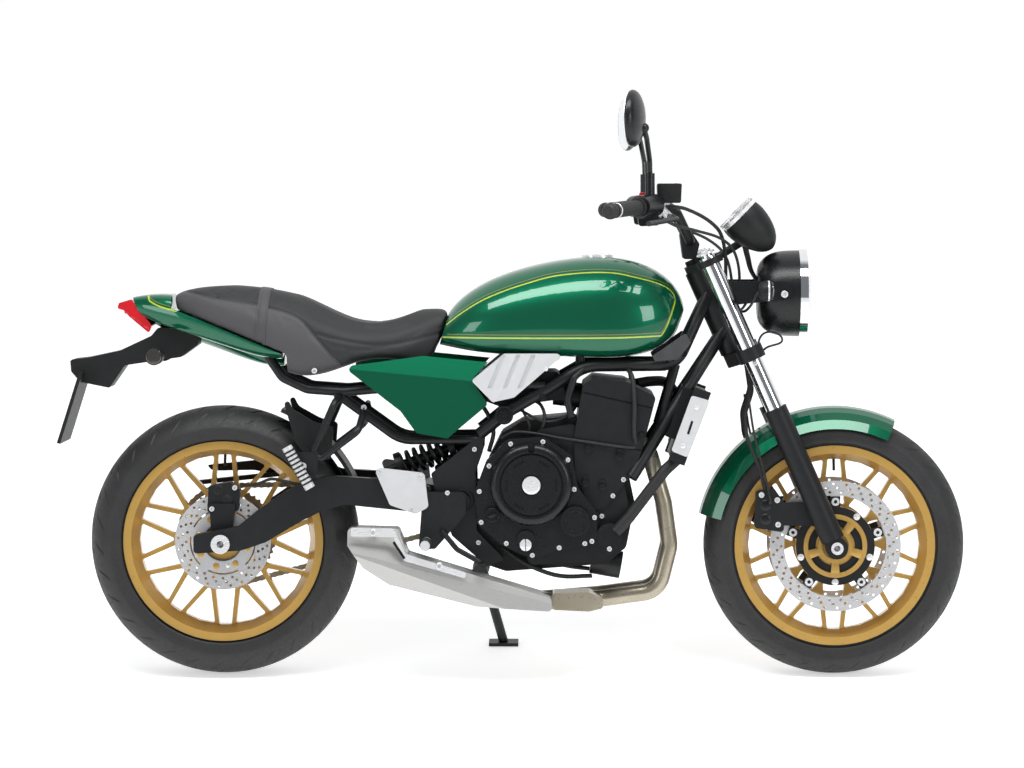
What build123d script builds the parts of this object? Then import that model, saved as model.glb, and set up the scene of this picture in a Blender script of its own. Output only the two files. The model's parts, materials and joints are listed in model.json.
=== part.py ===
from build123d import *
from math import acos, asin, atan2, cos, degrees, hypot, pi, radians, sin
import os

os.makedirs("parts", exist_ok=True)

# Standard motorcycle, modelled upright: x forward from the rear axle, y to its left, z up from
# the ground, in millimetres. At the end everything is leaned over onto its side stand.

# Chassis geometry
WHEELBASE = 1405.0
RAKE = 24.0
FORK_OFFSET = 30.7
PARKED_LEAN = 9.0
# Middle of the leaning machine's box, from under the rear axle
CENTRE_X = 663.5
CENTRE_Y = 169.48

# Tyres and wheels
FRONT_TYRE_RADIUS = 300.0
FRONT_TYRE_CROWN = 60.0
REAR_TYRE_RADIUS = 310.0
REAR_TYRE_CROWN = 80.0
BEAD_RADIUS = 218.0
FLANGE_RADIUS = 230.0
FLANGE_WALL = 5.0
FRONT_RIM_HALF_WIDTH = 44.5
REAR_RIM_HALF_WIDTH = 57.0
RIM_WALL = 6.0
WINDOW_RADIUS = 197.0
FORK_RADIUS_OF_SPOKES = 100.0
SPOKE_PAIR_HALF_GAP = 19.5
SPOKE_WIDTH = 10.0
STEM_WIDTH = 13.0
SPOKE_DEPTH = 24.0
SPOKE_COUNT = 10
AXLE_PLAY = 0.05
SIDE_PLAY = 0.3
FRONT_AXLE_RADIUS = 10.0
FRONT_AXLE_BORE = 7.0
REAR_AXLE_RADIUS = 12.0
REAR_AXLE_BORE = 8.0
FRONT_HUB_RADIUS = 46.0
FRONT_HUB_HALF = 52.0
REAR_HUB_RADIUS = 54.0
REAR_HUB_HALF = 62.0

# Brakes
FRONT_DISC_RADIUS = 150.0
FRONT_DISC_INNER = 117.0
REAR_DISC_RADIUS = 110.0
REAR_DISC_INNER = 76.0
DISC_THICKNESS = 5.0
FRONT_DISC_Y = 60.0
REAR_DISC_Y = 68.0
CARRIER_BOLT_RADIUS = 83.0
PAD_GAP = 2.0

# Fork and steering
FORK_HALF_SPACING = 100.0
FORK_TUBE_RADIUS = 20.5
SLIDER_RADIUS = 27.0
SLIDER_TOP = 348.0
FORK_TUBE_TOP = 726.0
LOWER_YOKE = 470.0
LOWER_YOKE_DEPTH = 30.0
UPPER_YOKE = 706.0
UPPER_YOKE_DEPTH = 15.0
STEM_RADIUS = 14.0
HEADSTOCK_RADIUS = 30.0
HEAD_PLAY = 0.5
BAR_RADIUS = 11.0
# Where the upper yoke stood when the outlines beside it were drawn
LAYOUT_YOKE = (1117.84, 944.96)
# Foot of the instrument arm on the yoke, up the fork and forward of it
ARM_FOOT = 712
ARM_FORE = 44

# Bodywork: gap under the seat, half width of the side covers, size of a bevel's cutter
SEAT_SEAM = 0.4
COVER_FACE = 142.0
BEVEL_REACH = 900.0
BEVEL_DEPTH = 120.0

# Drive
CHAIN_PITCH = 15.875
REAR_TEETH = 46
FRONT_TEETH = 15
CHAIN_Y = 92.0
ROLLER_RADIUS = 5.08
SPROCKET_THICKNESS = 6.0
TOOTH_TIP_GAP = 0.8

# Engine and swingarm pivot
PIVOT = (551.0, 408.0)
PIVOT_BOLT_RADIUS = 10.0
PIVOT_PLATE_Y = 102.0
PIVOT_PLATE_WALL = 16.0
OUTPUT_SHAFT = (645.0, 400.0)
ENGINE_CORE_RIGHT = 94.0
ENGINE_CORE_LEFT = 80.0
ENGINE_HALF_WIDTH = 124.0
CYLINDER_HALF_WIDTH = 130.0
WATER_PUMP = (886.0, 330.0)

# Side stand
STAND_PIVOT = (590.0, 130.0, 235.0)
STAND_AXIS = (0.128, 0.862, 0.490)
STAND_FOOT_X = 640.0
STAND_FOOT_Y = 235.0
STAND_BOLT_RADIUS = 6.0

# Outlines seen from the right side, as x and z
TANK_SECTIONS = [
    ((498, 762), (521, 839), 76),
    ((560, 750), (576, 889), 114),
    ((660, 740), (672, 932), 141),
    ((800, 735), (808, 960), 149),
    ((920, 735), (938, 954), 140),
    ((1002, 757), (1022, 912), 108),
    ((1046, 806), (1059, 845), 50),
]
SEAT_SECTIONS = [
    ((-100, 840), (-104, 878), 52),
    ((-50, 800), (-52, 894), 86),
    ((90, 730), (85, 889), 112),
    ((205, 688), (203, 854), 126),
    ((300, 717), (295, 813), 130),
    ((400, 724), (400, 812), 112),
    ((495, 760), (518, 840), 74),
]
TAIL_SECTIONS = [
    ((-190, 828), (-208, 870), 46),
    ((-110, 792), (-112, 876), 76),
    ((-20, 764), (-20, 850), 96),
    ((70, 738), (70, 800), 110),
    ((139, 730), (139, 760), 118),
]
SEAT_SPLIT = [(-116, 846), (-64, 826), (148, 740)]
SIDE_COVER = [(282, 715), (491, 743), (634, 750), (573, 685), (611, 630), (518, 552), (448, 564),
    (412, 614)]
SIDE_TRIM = [(647, 745), (768, 745), (780, 736), (765, 728), (670, 646), (621, 635), (573, 684)]
SWINGARM = [
    (-62, 330), (39, 350), (87, 389), (137, 423), (178, 448), (250, 466), (430, 455), (480, 440),
    (480, 392), (430, 385), (285, 400), (232, 386), (182, 361), (103, 314), (46, 295), (-62, 288),
]
CRANKCASE = [
    (590, 340), (600, 262), (650, 245), (880, 262), (925, 300), (945, 400), (930, 470), (880, 560),
    (800, 600), (690, 590), (640, 560), (610, 500), (590, 440),
]
CRANKCASE_WIDE = [
    (700, 262), (870, 270), (915, 306), (930, 400), (915, 468), (870, 548), (800, 584), (720, 570),
    (700, 420),
]
CYLINDERS = [(806, 556), (826, 673), (849, 690), (922, 682), (992, 646), (962, 530), (940, 470),
    (872, 392), (846, 388), (808, 470)]
CLUTCH_COVER = [
    (655, 552), (738, 557), (800, 515), (815, 442), (860, 382), (856, 316), (772, 298), (708, 281),
    (645, 308), (587, 358), (581, 434), (606, 500),
]
MUFFLER = [
    (291, 348), (406, 345), (428, 289), (621, 230), (755, 190), (755, 160), (583, 171), (385, 219),
    (326, 258), (291, 310),
]
PLATE_HOLDER = [
    (-165, 782), (-150, 800), (-57, 800), (-57, 762), (-97, 733), (-226, 714), (-262, 662), (-330, 676),
    (-350, 700),
    (-352, 727), (-315, 731), (-240, 747),
]
TAIL_LAMP = [(-243, 856), (-215, 826), (-170, 788), (-163, 805), (-210, 866)]
HEEL_PLATE = [(350, 487), (466, 474), (475, 396), (446, 380), (387, 401)]
PIVOT_PLATE = [(480, 470), (576, 546), (600, 560), (598, 520), (581, 472), (584, 340), (648, 274),
    (608, 258), (528, 328), (498, 400)]

# Frames of reference
FORK_UP = Vector(-sin(radians(RAKE)), 0, cos(radians(RAKE)))
FORK_AHEAD = Vector(cos(radians(RAKE)), 0, sin(radians(RAKE)))
REAR_AXLE = Vector(0, 0, REAR_TYRE_RADIUS)
FRONT_AXLE = Vector(WHEELBASE, 0, FRONT_TYRE_RADIUS)
STEERING_BASE = FRONT_AXLE - FORK_AHEAD * FORK_OFFSET
LEFT = Vector(0, 1, 0)
FORE = Vector(1, 0, 0)


def on_fork(height, side=0.0, ahead=FORK_OFFSET):
    """A point at a height along the steering axis, to the left and ahead of it."""
    return STEERING_BASE + FORK_UP * height + FORK_AHEAD * ahead + LEFT * side


def rod(start, end, radius, bore=0.0):
    """A straight round bar or pipe between two points."""
    start = Vector(*start)
    run = Vector(*end) - start
    plane = Plane(origin=start, z_dir=run)
    bar = extrude(plane * Circle(radius), run.length)
    if bore:
        bar -= extrude(plane * Circle(bore), run.length)
    return bar


def bent_tube(points, radius, bends, bore=0.0):
    """A round tube that follows straight runs joined by tangent arcs."""
    path = FilletPolyline(*points, radius=bends)
    plane = Plane(origin=path @ 0, z_dir=path % 0)
    section = Circle(radius) - Circle(bore) if bore else Circle(radius)
    return sweep(plane * section, path=path)


def side_plane(y):
    """A plane seen from the right side: x forward, z up, its normal to the right."""
    return Plane(origin=(0, y, 0), x_dir=(1, 0, 0), z_dir=(0, -1, 0))


def slab(outline, y_low, y_high, corner=0.0):
    """An outline in x and z, given thickness across the machine."""
    if corner:
        edge = FilletPolyline(*outline, radius=corner, close=True)
    else:
        edge = Polyline(*outline, close=True)
    return extrude(side_plane(y_high) * make_face(edge), y_high - y_low)


def turned(profile, centre, arc=360.0, start=0.0):
    """A closed profile of (y, radius) points turned about an axle that runs across the machine."""
    plane = Plane(origin=centre, x_dir=(0, 1, 0), z_dir=(1, 0, 0))
    face = plane * make_face(Polyline(*profile, close=True))
    axis = Axis(tuple(centre), (0, 1, 0))
    ring = revolve(face, axis, revolution_arc=arc)
    return ring.rotate(axis, start)


def across(centre, radius, y_low, y_high, bore=0.0):
    """A cylinder whose axis runs across the machine, about a point or an (x, z) pair."""
    x, z = (centre.X, centre.Z) if isinstance(centre, Vector) else centre
    return rod((x, y_low, z), (x, y_high, z), radius, bore)


def block(x_low, x_high, y_low, y_high, z_low, z_high):
    """A box between two corners."""
    size = (x_high - x_low, y_high - y_low, z_high - z_low)
    middle = ((x_low + x_high) / 2, (y_low + y_high) / 2, (z_low + z_high) / 2)
    return Pos(*middle) * Box(*size)


def spun(start, end, profile):
    """A body turned about the line from start toward end, its curve given as (distance, radius) points."""
    start = Vector(*start)
    run = (Vector(*end) - start).normalized()
    aside = FORE if abs(run.Y) > abs(run.X) else LEFT
    plane = Plane(origin=start, x_dir=run, z_dir=run.cross(aside))
    first, last = profile[0], profile[-1]
    edge = Spline(*profile) + Polyline(last, (last[0], 0), (first[0], 0), first)
    return revolve(plane * make_face(edge), Axis(tuple(start), tuple(run)))


def bevelled(piece, start, end, slope, side):
    """A side panel whose outer face leans inward above (or below) the line from start to end."""
    start, end = Vector(start[0], side, start[1]), Vector(end[0], side, end[1])
    along = (end - start).normalized()
    outward = Vector(0, cos(radians(abs(slope))) * (1 if side > 0 else -1), sin(radians(slope)))
    outward = (outward - along * along.dot(outward)).normalized()
    plane = Plane(origin=(start + end) / 2, x_dir=along, z_dir=outward)
    return piece - extrude(plane * Rectangle(BEVEL_REACH, BEVEL_REACH), BEVEL_DEPTH)


def mirrored(piece):
    """The same piece on the other side of the machine."""
    return mirror(piece, about=Plane.XZ)


def pair(piece):
    """A piece and its twin on the other side."""
    return piece + mirrored(piece)


def lofted(sections, half_outline):
    """A body of smooth closed sections, each between a low and a high point with a half width."""
    faces = []
    for low, high, half_width in sections:
        lean = hypot(high[0] - low[0], high[1] - low[1])
        up = Vector((high[0] - low[0]) / lean, 0, (high[1] - low[1]) / lean)
        plane = Plane(origin=(low[0], 0, low[1]), x_dir=(0, 1, 0), z_dir=LEFT.cross(up))
        right = [(share * half_width, height * lean) for share, height in half_outline]
        left = [(-y, z) for y, z in reversed(right[1:-1])]
        faces.append(plane * make_face(Spline(*right, *left, periodic=True)))
    return loft(faces)


# Tyres and wheels


def tyre(centre, radius, crown, rim_half):
    """A radial tyre: round tread, sidewalls that draw in to beads inside the rim's flanges."""
    tread_angle = radians(68)
    edge = (crown * sin(tread_angle), radius - crown + crown * cos(tread_angle))
    bead_side = rim_half - 0.5
    plane = Plane(origin=centre, x_dir=(0, 1, 0), z_dir=(1, 0, 0))
    tread = ThreePointArc((-edge[0], edge[1]), (0, radius), edge)
    right_wall = Polyline(edge, (crown * 0.93, edge[1] - 12), (bead_side, FLANGE_RADIUS + 2),
        (bead_side, BEAD_RADIUS))
    base = Line((bead_side, BEAD_RADIUS), (-bead_side, BEAD_RADIUS))
    left_wall = Polyline(
        (-bead_side, BEAD_RADIUS), (-bead_side, FLANGE_RADIUS + 2), (-crown * 0.93, edge[1] - 12),
            (-edge[0], edge[1])
    )
    face = make_face(tread + right_wall + base + left_wall)
    return revolve(plane * face, Axis(tuple(centre), (0, 1, 0)))


def wheel_window(centre, angle, points, depth, corner):
    """A rounded cut through the wheel, drawn along a spoke direction at an angle."""
    cutter = slab(points, -depth, depth, corner)
    return Pos(*centre) * Rot(Y=-angle) * cutter


def cast_wheel(centre, rim_half, hub_radius, hub_half, bore):
    """Hub, ten Y-shaped spokes and a rim with a dropped centre, in one casting."""
    step = 360 / SPOKE_COUNT
    half_step = radians(step / 2)
    seat = BEAD_RADIUS - 0.2
    inner = WINDOW_RADIUS + RIM_WALL
    outer_half = rim_half + FLANGE_WALL
    rim = turned(
        [
            (-outer_half, FLANGE_RADIUS), (-rim_half, FLANGE_RADIUS), (-rim_half, seat),
                (-rim_half + 12, seat),
            (-18, inner + RIM_WALL), (18, inner + RIM_WALL), (rim_half - 12, seat), (rim_half, seat),
            (rim_half, FLANGE_RADIUS), (outer_half, FLANGE_RADIUS), (outer_half, seat - RIM_WALL),
            (16, WINDOW_RADIUS), (-16, WINDOW_RADIUS), (-outer_half, seat - RIM_WALL),
        ],
        centre,
    )
    half_depth = SPOKE_DEPTH / 2
    web = across(centre, inner, centre.Y - half_depth, centre.Y + half_depth)
    pair_angle = half_step - asin(SPOKE_PAIR_HALF_GAP / WINDOW_RADIUS)
    arm_slope = atan2(WINDOW_RADIUS * sin(pair_angle),
        WINDOW_RADIUS * cos(pair_angle) - FORK_RADIUS_OF_SPOKES)
    apex = FORK_RADIUS_OF_SPOKES + SPOKE_WIDTH / 2 / sin(arm_slope)
    rim_v = WINDOW_RADIUS * sin(pair_angle) - SPOKE_WIDTH / 2
    vee = [(apex, 0), (WINDOW_RADIUS * cos(pair_angle), -rim_v), (WINDOW_RADIUS, 0),
        (WINDOW_RADIUS * cos(pair_angle), rim_v)]
    hub_u = (hub_radius + 6) * cos(half_step)
    hub_v = (hub_radius + 6) * sin(half_step) - STEM_WIDTH / 2 - 1
    mid_u = FORK_RADIUS_OF_SPOKES * cos(half_step)
    mid_v = FORK_RADIUS_OF_SPOKES * sin(half_step) - STEM_WIDTH / 2
    gap_v = SPOKE_PAIR_HALF_GAP - SPOKE_WIDTH / 2
    gap = [(hub_u, hub_v), (mid_u, mid_v), (WINDOW_RADIUS, gap_v), (WINDOW_RADIUS, -gap_v),
        (mid_u, -mid_v), (hub_u, -hub_v)]
    for index in range(SPOKE_COUNT):
        web -= wheel_window(centre, index * step, vee, SPOKE_DEPTH, 5)
        web -= wheel_window(centre, (index + 0.5) * step, gap, SPOKE_DEPTH, 4)
    hub = across(centre, hub_radius, -hub_half, hub_half)
    return rim + web + hub - across(centre, bore + AXLE_PLAY, -hub_half, hub_half)


def brake_disc(centre, y, inner, outer, holes):
    """A drilled brake rotor."""
    disc = across(centre, outer, y, y + DISC_THICKNESS, inner)
    rows = [(inner + outer) / 2 - 9, (inner + outer) / 2, (inner + outer) / 2 + 9]
    for index in range(holes):
        for row, radius in enumerate(rows):
            angle = radians(360 / holes * (index + row / 3))
            spot = (centre.X + radius * cos(angle), centre.Z + radius * sin(angle))
            disc -= across(spot, 3.2, y - 1, y + DISC_THICKNESS + 1)
    return disc


def disc_carrier(centre, y, hub_radius, inner, arms, bolt_radius):
    """The five-armed centre that bolts a rotor to the hub."""
    ring = across(centre, hub_radius + 22, y, y + DISC_THICKNESS, hub_radius - 8)
    for index in range(arms):
        angle = 360 / arms * index + 90
        arm = Pos(*centre) * Rot(Y=-angle) * block(hub_radius + 5, inner + 1, y, y + DISC_THICKNESS, -11,
            11)
        ring += arm
    return ring


def front_wheel():
    """Front wheel pieces: tyre, casting and two brake rotors on their carriers."""
    rim = cast_wheel(FRONT_AXLE, FRONT_RIM_HALF_WIDTH, FRONT_HUB_RADIUS, FRONT_HUB_HALF,
        FRONT_AXLE_RADIUS)
    flange = across(FRONT_AXLE, CARRIER_BOLT_RADIUS + 8, FRONT_DISC_Y - 12, FRONT_DISC_Y,
        FRONT_HUB_RADIUS - 6)
    rim += pair(flange)
    discs = brake_disc(FRONT_AXLE, FRONT_DISC_Y, FRONT_DISC_INNER, FRONT_DISC_RADIUS, 30)
    discs += disc_carrier(FRONT_AXLE, FRONT_DISC_Y, 68, FRONT_DISC_INNER, 5, CARRIER_BOLT_RADIUS)
    return {
        "front_tyre": tyre(FRONT_AXLE, FRONT_TYRE_RADIUS, FRONT_TYRE_CROWN, FRONT_RIM_HALF_WIDTH),
        "front_rim": rim,
        "front_brake_discs": pair(discs),
    }


def sprocket(centre, teeth, y, hub, thickness):
    """A chain wheel with a valley for each roller."""
    pitch_radius = CHAIN_PITCH / 2 / sin(pi / teeth)
    tip = pitch_radius - ROLLER_RADIUS - TOOTH_TIP_GAP
    points = []
    for index in range(teeth):
        for share, radius in ((0.15, tip), (0.35, tip), (0.6, tip - 4.5), (0.9, tip - 4.5)):
            angle = 2 * pi * (index + share) / teeth
            points.append((centre.X + radius * cos(angle), centre.Z + radius * sin(angle)))
    wheel = slab(points, y - thickness / 2, y + thickness / 2)
    return wheel - across(centre, hub, y - thickness, y + thickness)


def rear_wheel():
    """Rear wheel pieces: tyre, casting, rotor and driven sprocket."""
    rim = cast_wheel(REAR_AXLE, REAR_RIM_HALF_WIDTH, REAR_HUB_RADIUS, REAR_HUB_HALF, REAR_AXLE_RADIUS)
    disc_side = -REAR_DISC_Y - DISC_THICKNESS
    disc = brake_disc(REAR_AXLE, disc_side, REAR_DISC_INNER, REAR_DISC_RADIUS, 24)
    disc += disc_carrier(REAR_AXLE, disc_side, 50, REAR_DISC_INNER, 5, 60)
    rim += across(REAR_AXLE, 66, -REAR_DISC_Y, -REAR_HUB_HALF + 6, 40)
    sprocket_face = CHAIN_Y - SPROCKET_THICKNESS / 2
    rim += across(REAR_AXLE, 62, REAR_HUB_HALF - 6, sprocket_face, 40)
    chain_wheel = sprocket(REAR_AXLE, REAR_TEETH, CHAIN_Y, 42, SPROCKET_THICKNESS)
    for index in range(5):
        lightening = Pos(*REAR_AXLE) * Rot(Y=-72 * index) * across((84, 0), 13, CHAIN_Y - 5, CHAIN_Y + 5)
        chain_wheel -= lightening
    return {
        "rear_tyre": tyre(REAR_AXLE, REAR_TYRE_RADIUS, REAR_TYRE_CROWN, REAR_RIM_HALF_WIDTH),
        "rear_rim": rim,
        "rear_brake_disc": disc,
        "rear_sprocket": chain_wheel,
    }


def drive_chain():
    """Front sprocket and the chain as one band with a groove for the teeth between its links."""
    rear_radius = CHAIN_PITCH / 2 / sin(pi / REAR_TEETH)
    front_radius = CHAIN_PITCH / 2 / sin(pi / FRONT_TEETH)
    rear = (REAR_AXLE.X, REAR_AXLE.Z)
    front = OUTPUT_SHAFT
    span = hypot(front[0] - rear[0], front[1] - rear[1])
    lean = atan2(front[1] - rear[1], front[0] - rear[0])
    spread = acos((rear_radius - front_radius) / span)

    def loop(offset):
        top, low = lean + spread, lean - spread
        big, small = rear_radius + offset, front_radius + offset

        def at(centre, radius, angle):
            return (centre[0] + radius * cos(angle), centre[1] + radius * sin(angle))

        far = ThreePointArc(at(rear, big, top), at(rear, big, lean + pi), at(rear, big, low))
        near = ThreePointArc(at(front, small, low), at(front, small, lean), at(front, small, top))
        lower = Line(at(rear, big, low), at(front, small, low))
        upper = Line(at(front, small, top), at(rear, big, top))
        return make_face(far + lower + near + upper)

    plate_half = 7.0
    rollers = loop(ROLLER_RADIUS) - loop(-ROLLER_RADIUS)
    plates = loop(plate_half) - loop(-plate_half)
    chain = extrude(side_plane(CHAIN_Y + 3.8) * rollers, 7.6)
    for y in (CHAIN_Y + 7.5, CHAIN_Y - 3.8):
        chain += extrude(side_plane(y) * plates, 3.7)
    return chain


# Chassis


def headstock_point(height, side=0.0):
    """A point on the steering axis."""
    return on_fork(height, side, 0.0)


def tail_rails():
    """The rails under the seat, stepped up into the tail."""
    path = [
        (740, 112, 672), (560, 96, 680), (280, 88, 656), (196, 84, 662), (140, 80, 688), (100, 74, 745),
        (-60, 60, 795), (-130, 44, 814),
    ]
    return pair(bent_tube(path, 11, [80, 60, 40, 25, 25, 60]))


def seat_pegs():
    """The rubber-topped pegs on the cross tube that carry the seat."""
    return pair(rod((280, 44, 654), (280, 44, 726), 9))


def main_frame():
    """Steel tube frame: headstock, backbone rails, down tubes, seat rails and pivot plates."""
    low = LOWER_YOKE + LOWER_YOKE_DEPTH + HEAD_PLAY
    high = UPPER_YOKE - HEAD_PLAY
    frame = rod(headstock_point(low), headstock_point(high), HEADSTOCK_RADIUS)
    head_low = headstock_point(low + 55)
    head_high = headstock_point(high - 60)
    rail = bent_tube(
        [(head_high.X, 20, head_high.Z), (1040, 62, 716), (835, 104, 716), (652, 118, 610),
            (590, 108, 560)],
        14, [60, 90, 60],
    )
    down = rod((head_low.X, 18, head_low.Z), (936, 128, 462), 14)
    cross_strut = rod((1040, 62, 716), (1000, 88, 575), 9)
    mid_strut = bent_tube([(835, 104, 716), (806, 128, 690), (790, 134, 640), (800, 138, 600)], 8,
        [12, 40])
    stay = bent_tube([(590, 108, 548), (410, 92, 545), (262, 86, 652)], 10, [80])
    plate = slab(PIVOT_PLATE, PIVOT_PLATE_Y, PIVOT_PLATE_Y + PIVOT_PLATE_WALL, 5)
    frame += pair(rail + down + cross_strut + mid_strut + stay + plate) + tail_rails()
    frame += pair(rod((820, 88, 716), (820, 88, 746), 10)) + seat_pegs()
    for x, z, half in ((652, 610, 118), (280, 654, 88), (-60, 795, 60), (575, 300, 104)):
        frame += rod((x, -half, z), (x, half, z), 11)
    frame -= rod(headstock_point(low - 20), headstock_point(high + 20), STEM_RADIUS + AXLE_PLAY)
    frame += across(PIVOT, PIVOT_BOLT_RADIUS, -126, 126)
    frame += across(PIVOT, 18, -126, -PIVOT_PLATE_Y - 8) + across(PIVOT, 18, PIVOT_PLATE_Y + 8, 126)
    lug_plane = Plane(origin=STAND_PIVOT, z_dir=STAND_AXIS)
    lug = extrude(lug_plane * Pos(0, 0, -26) * Circle(19), 12)
    lug += extrude(lug_plane * Pos(0, 0, -26) * Circle(STAND_BOLT_RADIUS), 39)
    lug_centre = Vector(*STAND_PIVOT) - Vector(*STAND_AXIS) * 20
    return frame + lug + rod(lug_centre, (576, 66, 297), 6)


def swingarm():
    """Box-section arms, the bridge ahead of the tyre and the pivot tube."""
    arm = slab(SWINGARM, 100, 128, 8)
    inner_left = ENGINE_CORE_LEFT
    bridge = block(352, 440, -101, inner_left, 390, 452) + block(356, 436, inner_left, 101, 388, 416)
    boss = across(PIVOT, 26, -PIVOT_PLATE_Y + 1, inner_left)
    link = slab([(430, 450), (551, 434), (551, 382), (430, 388)], -94, inner_left)
    axle_slot = across(REAR_AXLE, REAR_AXLE_RADIUS, 90, 140)
    arms = pair(arm - axle_slot)
    return arms + bridge + boss + link - across(PIVOT, PIVOT_BOLT_RADIUS, -120, 120)


def rear_axle():
    """Hollow spindle with its adjuster blocks, spacers and nut."""
    spindle = across(REAR_AXLE, REAR_AXLE_RADIUS, -140, 140)
    collar_right = across(REAR_AXLE, 20, -100, -REAR_HUB_HALF - SIDE_PLAY)
    collar_left = across(REAR_AXLE, 20, REAR_HUB_HALF + SIDE_PLAY, 100)
    nut = across(REAR_AXLE, 21, -138, -128) + across(REAR_AXLE, 19, 128, 138)
    return spindle + collar_right + collar_left + nut - across(REAR_AXLE, REAR_AXLE_BORE, -150, 150)


def rear_shock():
    """The spring unit laid down ahead of the tyre, off to the right."""
    start, end = Vector(372, -46, 470), Vector(560, -46, 540)
    run = (end - start).normalized()
    shock = rod(start, end, 11)
    shock += rod(start + run * 30, start + run * 45, 32) + rod(end - run * 45, end - run * 30, 32)
    coil = Helix(pitch=18, height=106, radius=25, center=tuple(start + run * 43), direction=tuple(run))
    wire = Plane(origin=coil @ 0, z_dir=coil % 0) * Circle(5)
    return shock + sweep(wire, path=coil)


def engine():
    """Crankcase, covers, cylinders and what is bolted to them."""
    crankcase = slab(CRANKCASE, -ENGINE_CORE_RIGHT, ENGINE_CORE_LEFT, 18)
    crankcase += slab(CRANKCASE_WIDE, -ENGINE_HALF_WIDTH, ENGINE_HALF_WIDTH, 14)
    cover = slab(CLUTCH_COVER, -158, -ENGINE_CORE_RIGHT, 14)
    cover += spun((709, -150, 449), (709, -190, 449), [(0, 95), (12, 94), (21, 90), (26, 83), (27, 74)])
    cover -= across((709, 449), 72, -190, -172)
    cover += across((709, 449), 68, -182, -160)
    for index in range(6):
        turn = Pos(709, -182, 449) * Rot(Y=30 + 60 * index)
        cover -= turn * Pos(0, 0, 56) * Box(26, 5, 5)
    cover -= slab([(698, 560), (720, 560), (715, 522), (703, 522)], -190, -162, 2)
    cover += across((808, 366), 34, -172, -150)
    cover += across((696, 325), 20, -168, -150)
    left_cover = across((852, 400), 76, 120, 172) + across(OUTPUT_SHAFT, 62, 128, 156)
    left_cover += slab([(610, 478), (760, 500), (870, 470), (900, 340), (850, 290), (660, 300),
        (610, 350)], 124, 148, 12)
    cover += across((696, 312), 16, -166, -150) + across((620, 380), 17, -168, -150)
    cover += across((709, 449), 21, -186, -180) + across(WATER_PUMP, 30, -152, -120)
    cylinders = slab(CYLINDERS, -CYLINDER_HALF_WIDTH, CYLINDER_HALF_WIDTH, 9)
    for x, z in ((839, 530), (909, 513), (831, 452), (870, 443)):
        cylinders += pair(slab([(x - 7, z - 15), (x + 5, z - 15), (x + 7, z + 15), (x - 5, z + 15)], 126,
            135, 5))
    face = CYLINDER_HALF_WIDTH - 3
    for low, high in (((790, 667), (1010, 617)), ((790, 549), (990, 523))):
        joint = slab([low, high, (high[0], high[1] - 4), (low[0], low[1] - 4)], face,
            CYLINDER_HALF_WIDTH + 2)
        cylinders -= pair(joint)
    oil_filter = rod((846, -60, 268), (914, -60, 256), 31)
    return {
        "crankcase": crankcase,
        "cylinder_head": cylinders,
        "engine_covers": cover + left_cover,
        "oil_filter": oil_filter,
    }


def intake():
    """Throttle bodies and the air box between tank and engine."""
    box = slab([(560, 698), (770, 702), (790, 640), (640, 620), (560, 650)], -84, 84, 14)
    throttles = pair(rod((760, 52, 650), (842, 52, 640), 26))
    return box + throttles


def radiator():
    """Core between two tanks, tilted with the down tubes."""
    place = Plane(origin=(1068, 0, 580), x_dir=(cos(radians(20)), 0, -sin(radians(20))),
        z_dir=(sin(radians(20)), 0, cos(radians(20))))
    core = place * Box(32, 276, 166)
    tanks = pair(place * Pos(0, 138, 0) * Box(38, 26, 176))
    fan = place * Pos(-28, 0, 18) * Box(26, 190, 120)
    for row in range(10):
        core -= place * Pos(16, 0, -72 + 16 * row) * Box(8, 240, 9)
    return core + tanks + fan


def coolant_hoses():
    """The thick hose from the radiator's foot to the water pump."""
    hose = bent_tube([(1046, -110, 508), (1012, -124, 478), (930, -144, 372), (900, -148, 340)], 13,
        [40, 60])
    return hose


def radiator_guards():
    """The pressed side plates of the radiator."""
    plate = slab([(1072, 651), (1113, 639), (1063, 510), (1026, 525)], 152, 156, 6)
    return pair(plate)


def exhaust():
    """Two header pipes, the collector and the short silencer under the engine."""
    pipe = [(944, 50, 550), (980, 50, 510), (1012, 50, 400), (1026, 50, 300), (1000, 50, 196),
        (870, 50, 178)]
    left = bent_tube([*pipe, (760, -20, 176), (700, -78, 178)], 19, [24, 60, 60, 50, 80, 60])
    right_points = [(x, -y, z) for x, y, z in pipe]
    right = bent_tube([*right_points, (760, -92, 176), (700, -104, 180)], 19, [24, 60, 60, 50, 80, 60])
    bridge = rod((1024, -50, 330), (1024, 50, 330), 11)
    collector = slab([(756, 198), (840, 200), (872, 186), (872, 164), (840, 156), (756, 160)], -128, -36,
        8)
    silencer = bevelled(slab(MUFFLER, -168, -58, 9), (428, 262), (755, 178), 25, -168)
    silencer = bevelled(silencer, (300, 290), (583, 190), -30, -168)
    silencer -= rod((280, -112, 326), (340, -112, 322), 22)
    guard = slab([(300, 352), (398, 350), (424, 292), (560, 250), (560, 236), (420, 276), (396, 330),
        (300, 332)], -174, -168, 4)
    guard += across((350, 341), 7, -170, -150) + across((500, 265), 7, -170, -150)
    return {"exhaust_pipes": left + right + bridge + collector, "muffler": silencer, "heat_guard": guard}


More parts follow.
